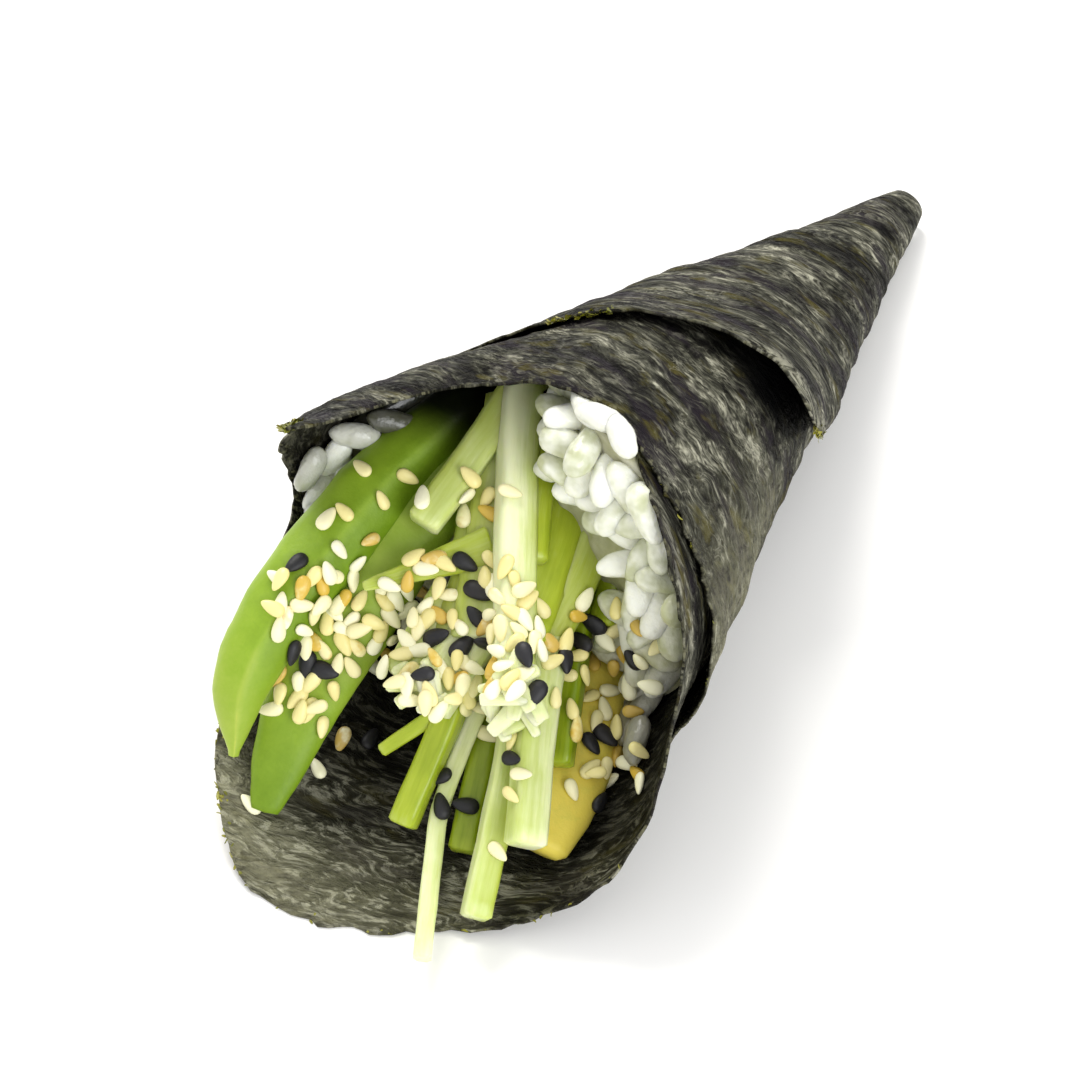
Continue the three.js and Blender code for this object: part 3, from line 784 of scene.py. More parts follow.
SHEET_EDGE = np.array(  # turn, and the station of the sheet's edge at the mouth
    [
        (8, 82), (32, 86.5), (60, 95.5), (90, 101), (112, 110), (130, 116.6), (145, 121.8), (158, 126.2),
        (170, 130.6), (186, 134.2), (200, 132.2), (216, 125.3), (229, 116.8), (246, 105.6), (260, 99.1), (280, 99.6),
        (292, 100.8), (300, 102.6), (308, 105), (316, 107.6), (322, 108.3), (325, 106), (328, 101), (330, 94.8),
        (332, 91.4), (335, 88.1), (340, 86), (345, 85), (362, 84.6), (380, 84), (410, 88.5), (440, 91.5),
        (480, 99), (540, 103), (585, 103), (615, 94), (650, 78), (690, 67), (720, 62), (735, 60.1),
        (750, 59.3), (765, 58.5), (780, 57.6), (792, 56), (800, 54), (812, 49), (830, 41), (850, 33),
    ],
    dtype=float,
)  # fmt: skip


@dataclass(frozen=True)
class NoriSheet:
    """One sheet of nori wound two and a third times round the cone, its edges torn and its free end lifted."""

    thickness: float = 0.3
    pitch: float = 1.15
    start: float = 8.0
    end: float = 850.0
    columns: int = 470
    rows: int = 92
    # height, turn, width, and the stations between which it sets in: the sag, the dent and the flare
    swells: tuple[tuple[float, ...], ...] = (
        (-2.6, 338.0, 17.0, 66.0, 90.0), (-1.3, 308.0, 12.0, 97.0, 106.0), (3.8, 130.0, 34.0, 94.0, 113.0),
    )  # fmt: skip
    # height, turn, width, and reach from the edge: the free end, the right rim, and a place held closed
    lifts: tuple[tuple[float, ...], ...] = (
        (3.3, 768.0, 36.0, 18.0), (0.8, 460.0, 16.0, 10.0), (-0.55, 405.0, 34.0, 7.0),
    )  # fmt: skip
    # turn, spread, number and size of each group of flakes, and the stations of those that lie on the sheet's face
    flakes: tuple[tuple[float, ...], ...] = (
        (694.0, 10.0, 60, 0.8), (797.0, 9.0, 44, 0.7), (308.0, 11.0, 150, 1.0), (225.0, 28.0, 60, 0.4),
        (168.0, 50.0, 50, 0.35), (420.0, 50.0, 40, 0.4),
        (455.0, 28.0, 220, 0.42, 60.0, 106.0), (815.0, 30.0, 160, 0.38, 4.0, 60.0),
    )  # fmt: skip
    # place along a flake, width and rise of each row of its points
    flake_rows: tuple[tuple[float, float, float], ...] = (
        (-0.5, 0.5, -0.08), (-0.1, 1.0, 0.1), (0.3, 0.8, 0.08), (0.5, 0.25, -0.05),
    )  # fmt: skip

    def edge(self, turn: np.ndarray) -> np.ndarray:
        """Station of the mouth-side edge at a turn, without its tears."""
        return along(SHEET_EDGE, turn.ravel())[:, 0].reshape(turn.shape)

    def tip_edge(self, turn: np.ndarray) -> np.ndarray:
        """Station of the tip-side edge: the inner layers stop short of the tip."""
        return 10.0 + (CONE.tip_end - 10.0) * smooth_step(440.0, 520.0, turn)

    def ripple(self, turn: np.ndarray, station: np.ndarray) -> np.ndarray:
        """Shallow buckles round the cone, less the sag and the dent at the upper left, plus the flare at the right.

        Args:
            turn: Turns.
            station: Stations.

        Returns:
            How far the sheet stands out.
        """
        angle = np.radians(turn)
        buckles = 0.32 * np.sin(3 * angle + station * 0.11) + 0.2 * np.sin(5 * angle - station * 0.17 + 1.2)
        proud = smooth_step(12.0, 45.0, station) * buckles
        for height, centre, width, start, full in self.swells:
            proud = proud + height * bell(angle_between(turn, centre), 0.0, width) * smooth_step(start, full, station)
        return proud

    def lift(self, turn: np.ndarray, station: np.ndarray) -> np.ndarray:
        """How far the sheet stands off the layer beneath, near its free end and in one place of its right rim.

        Args:
            turn: Turns.
            station: Stations.

        Returns:
            Heights.
        """
        to_edge = self.edge(turn) - station
        rows = ((height * bell(turn, centre, width), reach) for height, centre, width, reach in self.lifts)
        return sum(height * (1 - smooth_step(0.0, reach, to_edge)) for height, reach in rows)

    def flattened(self, turn: np.ndarray, station: np.ndarray) -> np.ndarray:
        """Place on the sheet laid flat, measured from the tip and round it, as the fibres run round the roll.

        Args:
            turn: Turns.
            station: Stations.

        Returns:
            Millimetres across and along the fibres, shape (..., 2).
        """
        reach = station * math.hypot(1.0, CONE.slope)
        angle = np.radians((turn - 430.0) * CONE.slope / math.hypot(1.0, CONE.slope))
        return np.stack([reach, (reach + 8.0) * angle], axis=-1)

    def wrinkles(self, flat: np.ndarray) -> np.ndarray:
        """Fine unevenness: layered noise drawn out along the fibres, and broader soft dents."""
        fine = layered_noise(flat / np.array([2.2, 5.5]), 4, 11)
        return 0.2 * fine + 0.24 * value_noise(flat / np.array([9.0, 19.0]), 31)

    def middle(self, turn: np.ndarray, station: np.ndarray) -> np.ndarray:
        """Middle of the sheet's thickness.

        Args:
            turn: Turns.
            station: Stations.

        Returns:
            Points, shape (..., 3).
        """
        proud = self.lift(turn, station) + self.ripple(turn, station)
        proud = proud + self.wrinkles(self.flattened(turn, station)) * smooth_step(0.0, 14.0, station)
        inset = self.pitch * (self.end - turn) / 360.0 - proud
        beneath = self.edge(turn + 360.0)
        on_layer = np.where(turn < 360.0, 1 - smooth_step(-2.0, 12.0, station - beneath), 0.0)
        return CONE.point(turn, station, inset, self.thickness / 2 + 0.14 + self.pitch * on_layer)

    def shape(self) -> Shape:
        """Builds both faces of the same grid and joins them along the four edges.

        Returns:
            The sheet's shape.
        """
        turns = np.linspace(self.start, self.end, self.columns + 1)
        arc = np.radians(turns - self.start) * CONE.radius(self.edge(turns))
        tear = 0.5 * value_noise(arc[:, None] / 4.1, 5) + 0.42 * layered_noise(arc[:, None] / 1.3, 2, 9)
        low = self.tip_edge(turns)
        high = self.edge(turns) + tear
        share = np.linspace(0.0, 1.0, self.rows + 1)[None, :]
        station = low[:, None] + (high - low)[:, None] * share
        free_end = smooth_step(0.985, 1.0, np.linspace(0, 1, self.columns + 1))[:, None]
        ragged = 0.5 * layered_noise(station[..., None] / 1.7, 2, 21) * free_end
        reach = CONE.radius(station)
        turn = np.repeat(turns[:, None], self.rows + 1, axis=1) + 57.3 * ragged / np.maximum(reach, 3.0)
        middle = self.middle(turn, station)
        out = unit(np.cross(np.gradient(middle, axis=1), np.gradient(middle, axis=0)))
        faces = [(middle + side * self.thickness / 2 * out).reshape(-1, 3) for side in (1, -1)]
        from_ends = np.minimum(self.end - turn, 400.0) * np.pi / 180.0 * reach
        rim = np.minimum(high[:, None] - station, from_ends)
        count, stride = turn.size, self.rows + 1
        upper = grid_quads(self.columns + 1, stride)
        column, row = np.arange(self.columns)[:, None] * stride, np.arange(self.rows)[:, None]
        edges = (
            (column + self.rows, (0, count, count + stride, stride)),
            (column, (0, stride, count + stride, count)),
            (row, (0, count, count + 1, 1)),
            (row + self.columns * stride, (0, 1, count + 1, count)),
        )
        quads = [upper, upper[:, ::-1] + count, *(start + np.array([offsets]) for start, offsets in edges)]
        flat = self.flattened(turn, station)
        sheet = np.tile(flat.reshape(-1, 2), (2, 1))
        return Shape(np.concatenate(faces), quads, self.values(turn, station, rim, flat), sheet)

    def values(
        self, turn: np.ndarray, station: np.ndarray, rim: np.ndarray, flat: np.ndarray
    ) -> dict[str, np.ndarray]:
        """Works out where the finish changes, painted light and shade among it: one bell round the roll and one smooth
        step along it for each value.

        Args:
            turn: Turns.
            station: Stations.
            rim: Distances from the nearest edge.
            flat: Places on the flat sheet.

        Returns:
            The values of the outer and then the inner face, by name.
        """
        # painted light: paler near the edge of the flap's lower left, on both faces, and a painted highlight on the
        # outer face of the right flank
        lit_flap = bell(turn, 208.0, 40.0) * (1 - smooth_step(2.0, 16.0, rim)) * smooth_step(98.0, 112.0, station)
        lit_patches = smooth_step(56.0, 80.0, station + 9.0 * value_noise(flat / 5.0, 45))
        lit_patches = np.maximum(lit_flap, 0.75 * bell(turn, 452.0, 24.0) * lit_patches)
        # painted shade on the inner face, fading out between stations 110 and 127 on the flap
        shaded_pocket = 1 - smooth_step(110.0, 127.0, station + 8.0 * value_noise(flat / 7.0, 77))
        # painted shadow: near black on the layer just past the edge of the one above it, most under the lifted free
        # end
        beyond = station - self.edge(turn + 360.0)
        depth = 0.5 + 3.1 * bell(turn, 417.0, 26.0) + 0.5 * value_noise(flat / 1.6, 41)
        painted_gap_shadow = np.where(turn + 360.0 < self.end, 1 - smooth_step(-0.7, 0.5, beyond - depth), 0.0)
        painted_gap_shadow = painted_gap_shadow * bell(turn, 410.0, 60.0)
        hem = (1 - smooth_step(0.4, 3.6, rim + 0.6 * value_noise(flat / 1.3, 43))) * bell(turn, 780.0, 34.0)
        none, full = np.zeros_like(turn), np.ones_like(turn)
        pairs = {
            "under": (painted_gap_shadow, none),
            "hem": (hem, hem),
            "rim": (rim, rim),
            "inner": (none, full),
            "dry": (lit_patches, lit_flap),
            "moist": (none, shaded_pocket),
        }
        return {name: np.concatenate([value.ravel() for value in pair]) for name, pair in pairs.items()}

    def torn_bits(self) -> Shape:
        """Flakes of green that cling to the torn edges: bent three-row strips lying almost flat.

        Returns:
            The flakes' shape.
        """
        shapes = []
        for index, (centre, spread, number, size, *reach) in enumerate(self.flakes):
            random = random_values(number, 7, 70 + index)
            turn = np.clip(centre + spread * (2 * random[:, 0] - 1), self.start + 2, self.end - 2)
            station = self.edge(turn) + 0.3 - 1.6 * random[:, 1] ** 2
            if reach:
                station = np.minimum(reach[0] + (reach[1] - reach[0]) * random[:, 1], self.edge(turn) - 1)
            place = self.middle(turn, station)
            ahead = unit(self.middle(turn, station + 0.5) - place)
            beside = unit(self.middle(turn + 1.0, station) - place)
            up = unit(np.cross(beside, ahead))
            angle = 2 * np.pi * random[:, 2:3]
            heading = unit(ahead * np.sin(angle) * 0.6 + beside * np.cos(angle) + up * 0.5 * (random[:, 3:4] - 0.5))
            across = unit(np.cross(heading, up))
            length = size * (0.8 + 1.8 * random[:, 4:5])
            width = size * (0.4 + 0.7 * random[:, 5:6])
            place = place + up * (0.3 * (random[:, 6:7] - 0.4) + (self.thickness / 2 if reach else 0.0))
            rows = []
            for step, girth, rise in self.flake_rows:
                middle = place + heading * length * step + up * length * rise
                rows += [middle - across * width * girth / 2, middle + across * width * girth / 2]
            points = np.stack(rows, axis=1).reshape(-1, 3)
            points[:, 2] = np.maximum(points[:, 2], 0.2)
            corners = 2 * len(self.flake_rows)
            base = np.arange(number)[:, None] * corners
            quads = [base + np.array([[0, 1, 3, 2]]) + 2 * k for k in range(len(self.flake_rows) - 1)]
            tone = np.ones(number) if reach else 0.7 * random[:, 0]
            shapes.append(Shape(points, [np.concatenate(quads)], {"tone": np.repeat(tone, corners)}))
        return shapes[0].joined(shapes[1:])


# ---------------------------------------------------------------- swept food


def view_axes(azimuth: float, elevation: float) -> tuple[np.ndarray, np.ndarray, np.ndarray]:
    """Axes of a direction: across it, up it, and back towards where it comes from.

    Args:
        azimuth: Degrees from -Y towards +X.
        elevation: Degrees over the ground.

    Returns:
        The across, up and back unit vectors.
    """
    a, e = math.radians(azimuth), math.radians(elevation)
    back = np.array([math.sin(a) * math.cos(e), -math.cos(a) * math.cos(e), math.sin(e)])
    across = np.array([math.cos(a), math.sin(a), 0.0])
    return across, np.cross(back, across), back


FRONT = view_axes(33.0, 50.0)  # the side that the mouth is shown from
AIM = (-0.2, -18.9, 20.0)
AWAY = 420.0


def falling(column: float, row: float) -> tuple[Vector, Vector]:
    """The way a small thing fell, towards a place in the plane that faces the source.

    Args:
        column: Place across the plane.
        row: Place down the plane.

    Returns:
        Where it starts and its direction.
    """
    across, up, back = FRONT
    start = np.array(AIM) + back * AWAY
    return Vector(start), Vector(unit(across * (column - MIDDLE) / FOCAL - up * (row - MIDDLE) / FOCAL - back))


def facing(points: np.ndarray) -> tuple[np.ndarray, np.ndarray]:
    """Column and row of points in the plane that faces the source, without perspective."""
    away = points - np.array(AIM)
    return MIDDLE + PLACES_PER_MM * (away @ FRONT[0]), MIDDLE - PLACES_PER_MM * (away @ FRONT[1])


def spiral(patch: tuple[float, float, float, float, int], number: int) -> list[tuple[float, float]]:
    """Even spiral over an oval patch: each place a golden angle on, its reach the root of its share of the count.

    Args:
        patch: Column, row, half width, half height, and count of the places.
        number: Number of the patch, which turns the spiral.

    Returns:
        Column and row of each place.
    """
    column, row, half_width, half_height, count = patch
    places = []
    for k in range(count):
        reach, angle = math.sqrt((k + 0.5) / count), k * GOLDEN + number
        places.append((column + half_width * reach * math.cos(angle), row + half_height * reach * math.sin(angle)))
    return places


@dataclass(frozen=True)
class Sweep:
    """A body swept along a smooth line: rings of an outline, closed with a rounded cap at either end."""

    path: tuple[tuple[float, ...], ...]
    width: float
    thickness: float
    roll: float = 0.0
    rings: int = 26
    cap: float = 0.5

    def spine(self) -> tuple[np.ndarray, np.ndarray, np.ndarray, np.ndarray]:
        """Follows the path: points evenly spaced along it, with the directions across and out of the body.

        Returns:
            Middles with their size share, headings, across and out vectors.
        """
        path = np.array([(*p, 1.0)[:4] for p in self.path])
        gaps = np.linalg.norm(np.diff(path[:, :3], axis=0), axis=1)
        table = np.column_stack([np.concatenate([[0.0], np.cumsum(gaps)]), path])
        reach = np.linspace(0.0, table[-1, 0], self.rings)
        line = along(table, reach)
        heading = unit(np.gradient(line[:, :3], axis=0))
        across = unit(np.cross(FRONT[2], heading))
        across = np.where(across[:, :1] < 0, -across, across)
        out = unit(np.cross(across, heading))
        out = np.where((out @ FRONT[2])[:, None] < 0, -out, out)
        angle = math.radians(self.roll)
        turned = across * math.cos(angle) + out * math.sin(angle)
        return line, heading, turned, out * math.cos(angle) - across * math.sin(angle)

    def shape(
        self, outline: np.ndarray, tone: Callable[[np.ndarray, np.ndarray], np.ndarray], bump: float, seed: int
    ) -> Shape:
        """Sweeps the outline.

        Args:
            outline: Points of the cut as shares of the width and thickness, shape (n, 2).
            tone: Gives the tone value from the outline points and the share along the body.
            bump: Height of the unevenness.
            seed: Pattern of the unevenness.

        Returns:
            The body's shape, its "tone" value and its run along and round the body as UV.
        """
        line, heading, across, out = self.spine()
        count, rows = len(outline), self.rings + 2
        length = np.linalg.norm(np.diff(line[:, :3], axis=0), axis=1).sum()
        size = outline * np.array([self.width, self.thickness])
        body = (
            line[:, None, :3]
            + across[:, None, :] * (size[None, :, :1] * line[:, None, 3:4])
            + out[:, None, :] * (size[None, :, 1:] * line[:, None, 3:4])
        )
        outward = unit(body - line[:, None, :3])
        body = body + outward * (bump * layered_noise(body / 3.2, 2, seed))[..., None]
        inset = min(self.cap, 0.3 * self.thickness)
        shrink = 1.0 - 2.0 * inset / max(self.width, self.thickness)
        caps = []
        for end, sign in ((0, -1.0), (-1, 1.0)):
            middle = line[end, :3]
            ring = middle + (body[end] - middle) * shrink + sign * heading[end] * inset * 0.8
            caps.append((ring, (middle + sign * heading[end] * inset)[None, :]))
        points = np.concatenate([caps[0][1], caps[0][0], body.reshape(-1, 3), caps[1][0], caps[1][1]])
        reach = np.concatenate([[0.0], np.linspace(0.0, 1.0, self.rings), [1.0]])
        around = np.concatenate([[0.0], np.cumsum(np.linalg.norm(np.diff(size, axis=0), axis=1))])
        tones = tone(np.tile(outline, (rows, 1)), np.repeat(reach, count))
        ends = tone(np.zeros((2, 2)), np.array([0.0, 1.0]))
        uv = np.stack([np.tile(around, rows), np.repeat(reach * length, count)], axis=1)
        return Shape(
            points,
            tube_faces(rows, count),
            {"tone": np.concatenate([ends[:1], tones, ends[1:]])},
            np.concatenate([[[0.0, 0.0]], uv, [[0.0, length]]]),
        )


def rounded_square(sides: int, power: float) -> np.ndarray:
    """Outline of a square with soft corners: |x| to the power + |y| to the power = a constant.

    Args:
        sides: Number of points.
        power: How square it is.

    Returns:
        Points from -0.5 to 0.5, shape (sides, 2).
    """
    angle = 2 * np.pi * (np.arange(sides) + 0.5) / sides
    x, y = np.cos(angle), np.sin(angle)
    scale = 0.5 / (np.abs(x) ** power + np.abs(y) ** power) ** (1 / power)
    return np.stack([x * scale, y * scale], axis=1)


def smooth_outline(points: Sequence[tuple[float, float]], sides: int) -> np.ndarray:
    """Closed smooth outline through a few points.

    Args:
        points: Corner points.
        sides: Number of points wanted.

    Returns:
        Outline, shape (sides, 2).
    """
    corners = np.array(points)
    closed = np.concatenate([corners[-2:], corners, corners[:3]])
    table = np.column_stack([np.arange(len(closed)) - 2.0, closed])
    return along(table, np.linspace(0.0, len(corners), sides, endpoint=False))[::-1]


@dataclass(frozen=True)
class Stick:
    """One cucumber stick: its middle line, the size of its cut face, and how green each side of it is."""

    path: tuple[tuple[float, ...], ...]
    width: float
    height: float
    roll: float
    tone: float = 0.3
    skin: tuple[float, float] = (0.5, 0.0)
    bend: float = 0.0
    tip: float = 1.0
    sides: int = 24
    rings: int = 20
    squareness: float = 7.0
    cap: float = 0.35
    bump: float = 0.09
    pale_end: float = 0.12

    def shape(self, index: int) -> Shape:
        """Builds the stick.

        Args:
            index: Number of the stick, which sets its unevenness.

        Returns:
            The stick's shape.
        """
        path = [np.array(p[:3]) for p in self.path]
        if len(path) == 2:
            path.insert(1, (path[0] + path[1]) / 2 + FRONT[0] * self.bend)
        points = tuple((*p, s) for p, s in zip(path, np.linspace(1.0, self.tip, len(path))))
        outline = rounded_square(self.sides, self.squareness)
        skin = np.array(self.skin)

        def tone(place: np.ndarray, reach: np.ndarray) -> np.ndarray:
            """Greener towards the skin, and paler at the cut end."""
            return self.tone + place @ skin - self.pale_end * smooth_step(0.93, 1.0, reach)

        sweep = Sweep(points, self.width, self.height, self.roll, rings=self.rings, cap=self.cap)
        return sweep.shape(outline, tone, self.bump, 40 + index)


# each with its path, width, height, roll in degrees, tone, tone towards its sides, bend, and size of its tip
STICKS = (
    Stick(((-8, -7, 33.4), (-7.4, -11.6, 34.4), (10.9, -41.5, 22.5)), 4.3, 3.6, -22, 0.16, (0.7, -0.1), 0.3),
    Stick(((-8.2, -10.6, 34), (-8.5, -30, 28.8)), 3.9, 2.6, 10, 0.36, (-0.1, 0.1), 0.3),
    Stick(((-8.4, -11.6, 32.2), (2.8, -35.8, 21.5)), 6.5, 3.4, 8, 0.32, (-0.3, 0.1)),
    Stick(((-7.5, -16, 30), (0.5, -38, 19.5)), 5, 4, 20, 0.42, (-0.2, 0.1)),
    Stick(((-1.3, -27.5, 26.6), (-10.9, -38.2, 24.4)), 4.8, 2, 5, 0.5, (0.0, 0.2), 0.0, 0.25),
    Stick(((-3.6, -13.6, 31.6), (3.5, -27, 27)), 4, 3.4, -15, 0.55, (0.3, 0.1)),
    Stick(((1.6, -15.4, 27.6), (6.8, -33.3, 22.5)), 5.4, 3.2, -10, 0.62, (0.2, 0.1), 0.4),
    Stick(((6.8, -17.8, 25.2), (8.5, -31.2, 20.5)), 4.4, 3.2, -25, 0.55, (0.2, 0.0), 0.4),
    Stick(((8.6, -18.4, 22.6), (12, -24.2, 18.5)), 3.2, 3, 30, 0.8, (0.2, 0.0), 0.7),
    Stick(((2, -29, 23), (1, -43.7, 17.5)), 5.6, 4.2, 12, 0.16, (-0.1, 0.1)),
    Stick(((4.8, -28.6, 22.5), (10, -40.7, 17)), 5, 4.2, -8, 0.14, (0.1, 0.1)),
    Stick(((-3.4, -28.5, 24), (-3.3, -42.4, 18)), 4, 3.4, 16, 0.25, (-0.1, 0.1)),
    Stick(((5.8, -24.3, 23.2), (18.4, -50.5, 11.8)), 4.2, 3.2, -28, 0.22, (-0.25, 0.1), -0.4),
    Stick(((6.1, -31, 17.5), (16.6, -57.8, 5.3)), 3.2, 2.8, -14, 0.36, (0.3, 0.1), 0.3),
    Stick(((1, -32.7, 20), (3.3, -52.5, 6.5)), 3.1, 2.8, 18, 0.7, (0.1, 0.1), 0.3),
    Stick(((1.8, -33, 16.5), (4.1, -45.4, 8)), 2.6, 2.4, -10, 0.85, (0.2, 0.0)),
    Stick(
        ((3.7, -32.2, 16.8), (5.5, -47.7, 7.2), (8.4, -54.1, 5.2), (14.1, -64.6, 3.6)), 2.1, 1.8, 0, 0.12, (0.1, 0.1)
    ),
    Stick(((1.9, -28.3, 14.5), (10, -50.6, 4.3)), 3.2, 2.6, 8, 0.92, (0.1, 0.0)),
    Stick(((5.8, -36.6, 18.6), (-2.8, -47.4, 10)), 1.7, 1.4, 0, 0.7, (0.1, 0.0)),
    Stick(((7.6, -21.5, 19.5), (15.7, -39.3, 11.9)), 2.8, 2.6, 20, 0.9, (0.2, 0.0)),
)

WEDGE = (
    (-0.5, -0.1), (-0.42, 0.22), (-0.2, 0.42), (0.08, 0.5), (0.4, 0.24), (0.5, -0.08), (0.36, -0.36), (0, -0.5),
    (-0.34, -0.4),
)  # fmt: skip
SLAB = (
    (-0.5, 0.06), (-0.4, 0.34), (-0.12, 0.5), (0.26, 0.46), (0.47, 0.2), (0.49, -0.14), (0.3, -0.44), (-0.05, -0.5),
    (-0.4, -0.34),
)  # fmt: skip


@dataclass(frozen=True)
class Chips:
    """Small pale chips of cucumber heaped where the sticks meet, resting on whatever they met first."""

    # column, row, half width, half height and count of each heap
    patches: tuple[tuple[float, float, float, float, int], ...] = ((410, 692, 34, 20, 20), (512, 700, 26, 30, 14))
    height: tuple[float, float] = (0.5, 0.8)  # least and spread, here and below
    turn: tuple[float, float] = (40.0, 150.0)
    half_length: tuple[float, float] = (1.1, 1.5)
    width: tuple[float, float] = (1.3, 1.1)
    thickness: tuple[float, float] = (0.7, 0.6)
    tone: tuple[float, float] = (0.02, 0.2)

    def shapes(self, hosts: BVHTree) -> list[Shape]:
        """Drops the chips.

        Args:
            hosts: Search tree of everything that can catch a chip.

        Returns:
            The chips' shapes.
        """
        shapes = []
        across, up, back = FRONT
        for number, patch in enumerate(self.patches):
            random = random_values(patch[4], 8, 400 + number)
            for k, (aim, chance) in enumerate(zip(spiral(patch, number), random)):
                place = hosts.ray_cast(*falling(*aim))[0]
                if place is None:
                    continue
                sizes = (self.height, self.turn, self.half_length, self.width, self.thickness, self.tone)
                drawn = [low + spread * chance[i] for (low, spread), i in zip(sizes, (0, 1, 3, 4, 5, 7))]
                middle = np.array(place) + back * drawn[0]
                turn = math.radians(drawn[1])
                heading = unit(across * math.cos(turn) - up * math.sin(turn) + back * 0.4 * (chance[2] - 0.5))
                half = heading * drawn[2]
                path = (tuple(middle - half), tuple(middle + half))
                roll, bend = 40 * (chance[6] - 0.5), 0.5 * (chance[2] - 0.5)
                stick = Stick(path, *drawn[3:5], roll, drawn[5], (0.1, 0.05), bend, 0.7, sides=10, rings=6)
                shapes.append(stick.shape(100 + k))
        return shapes


@dataclass(frozen=True)
class AvocadoSlice:
    """One avocado slice: its middle line with size shares, its outline, and how its green runs."""

    name: str
    slot: str
    path: tuple[tuple[float, ...], ...]
    outline: tuple[tuple[float, float], ...]
    width: float
    thickness: float
    tone: float
    slope: tuple[float, float]
    end_tone: float
    # lighter band along the top edge of the cut: a painted highlight
    ridge: float = 0.0
    sides: int = 44
    rings: int = 70
    cap: float = 0.9
    bump: float = 0.16

    def shape(self, index: int) -> Shape:
        """Builds the slice.

        Args:
            index: Number of the slice, which sets its unevenness.

        Returns:
            The slice's shape.
        """
        slope = np.array(self.slope)

        def tone(place: np.ndarray, reach: np.ndarray) -> np.ndarray:
            """Tone that runs evenly over the cut, fades to the end's tone, and is lighter on the ridge, a painted
            highlight.

            Args:
                place: Outline points.
                reach: Share of the way along the slice.

            Returns:
                Tones.
            """
            fade = smooth_step(0.7, 1.0, reach)
            ridge = self.ridge * np.exp(-(((place[..., 0] - 0.06) / 0.05) ** 2)) * (place[..., 1] > 0)
            return (self.tone + place @ slope) * (1 - fade) + fade * (self.end_tone + place @ slope * 0.6) - ridge

        sweep = Sweep(self.path, self.width, self.thickness, 0.0, rings=self.rings, cap=self.cap)
        shape = sweep.shape(smooth_outline(self.outline, self.sides), tone, self.bump, 60 + index)
        # painted shade: dark on the upper ends deep in the mouth, set by where they lie in the view and only above 14
        # mm
        column, row = facing(shape.points)
        depth = row - 0.4 * np.maximum(column - 380.0, 0.0)
        shape.values["shade"] = (1 - smooth_step(380.0, 442.0, depth)) * (shape.points[:, 2] > 14)
        return shape


SLICES = (
    AvocadoSlice(
        "avocado_slice_left",
        "avocado_green",
        (
            (-12.4, -2.5, 26.5, 0.7), (-14, -14.5, 29.2, 0.84), (-16, -24.8, 28, 0.96), (-17.4, -35.9, 25, 1),
            (-18.6, -45.8, 21, 0.9), (-18.3, -52.8, 16, 0.7), (-16.3, -57.2, 11.2, 0.16),
        ),
        WEDGE, 9.0, 6.4, 0.74, (0.3, 0.1), 0.4, 0.22,
    ),
    AvocadoSlice(
        "avocado_slice_middle",
        "avocado_dark_green",
        (
            (-10.4, -3, 27.4, 0.6), (-11.1, -10.5, 28.4, 0.74), (-11.6, -19.2, 26.8, 0.86), (-12.2, -29.5, 23.5, 0.94),
            (-12.9, -39.8, 17.8, 0.96), (-13.6, -47.6, 11.6, 0.8), (-13, -53.5, 7.2, 0.6), (-12, -57.6, 4.3, 0.36),
        ),
        SLAB, 10.6, 4.6, 0.45, (0.1, 0.1), 0.84,
    ),
    AvocadoSlice(
        "avocado_slice_right",
        "avocado_yellow",
        (
            (10.6, -17, 12, 0.6), (12, -25.5, 10.6, 0.8), (14.2, -33, 9.2, 0.94), (16, -40, 7.8, 1),
            (16.9, -46.6, 6.6, 0.86),
        ),
        SLAB, 9.6, 3.8, 0.0, (-0.05, 0.0), 0.0,
    ),
)  # fmt: skip


# ---------------------------------------------------------------- grains and seeds


@dataclass(frozen=True)
class Kernel:
    """A small rounded body such as a grain or a seed, as a unit form to be placed many times."""

    around: int
    along: int
    bluntness: float
    taper: float
    bend: float

    def form(self) -> tuple[np.ndarray, list[np.ndarray]]:
        """Builds the unit form: girth (1 - |t| to the bluntness) to the half power, tapered and bent along t.

        Returns:
            Points with x along the kernel from -0.5 to 0.5, and faces.
        """
        t = -np.cos(np.pi * (np.arange(self.along) + 1) / (self.along + 1))
        girth = np.sqrt(np.maximum(1 - np.abs(t) ** self.bluntness, 0.0)) * (1 + self.taper * t)
        angle = 2 * np.pi * np.arange(self.around) / self.around
        rings = np.stack(
            [
                np.repeat(t / 2, self.around),
                np.outer(girth, np.cos(angle)).ravel() / 2,
                np.outer(girth, np.sin(angle)).ravel() / 2 + self.bend * (1 - np.repeat(t, self.around) ** 2),
            ],
            axis=1,
        )
        points = np.concatenate([[[-0.5, 0, 0]], rings, [[0.5, 0, 0]]])
        return points, tube_faces(self.along, self.around)

    def scatter(
        self, place: np.ndarray, heading: np.ndarray, out: np.ndarray, size: np.ndarray, values: dict[str, np.ndarray]
    ) -> Shape:
        """Places many kernels.

        Args:
            place: Centres, shape (n, 3).
            heading: Long directions, shape (n, 3).
            out: Directions of the thickness, shape (n, 3).
            size: Length, width and thickness of each, shape (n, 3).
            values: A value for each kernel, by name.

        Returns:
            One shape of all the kernels.
        """
        form, faces = self.form()
        heading = unit(heading)
        across = unit(np.cross(out, heading))
        out = np.cross(heading, across)
        axes = np.stack([heading, across, out], axis=1)
        points = place[:, None, :] + np.einsum("vk,nk,nkd->nvd", form, size, axes)
        starts = (np.arange(len(place)) * len(form))[:, None, None]
        return Shape(
            points.reshape(-1, 3),
            [(face[None] + starts).reshape(-1, face.shape[1]) for face in faces],
            {name: np.repeat(value, len(form)) for name, value in values.items()},
        )


GRAIN = Kernel(14, 11, 2.5, 0.1, 0.09)
SEED = Kernel(12, 9, 2.2, -0.32, 0.0)

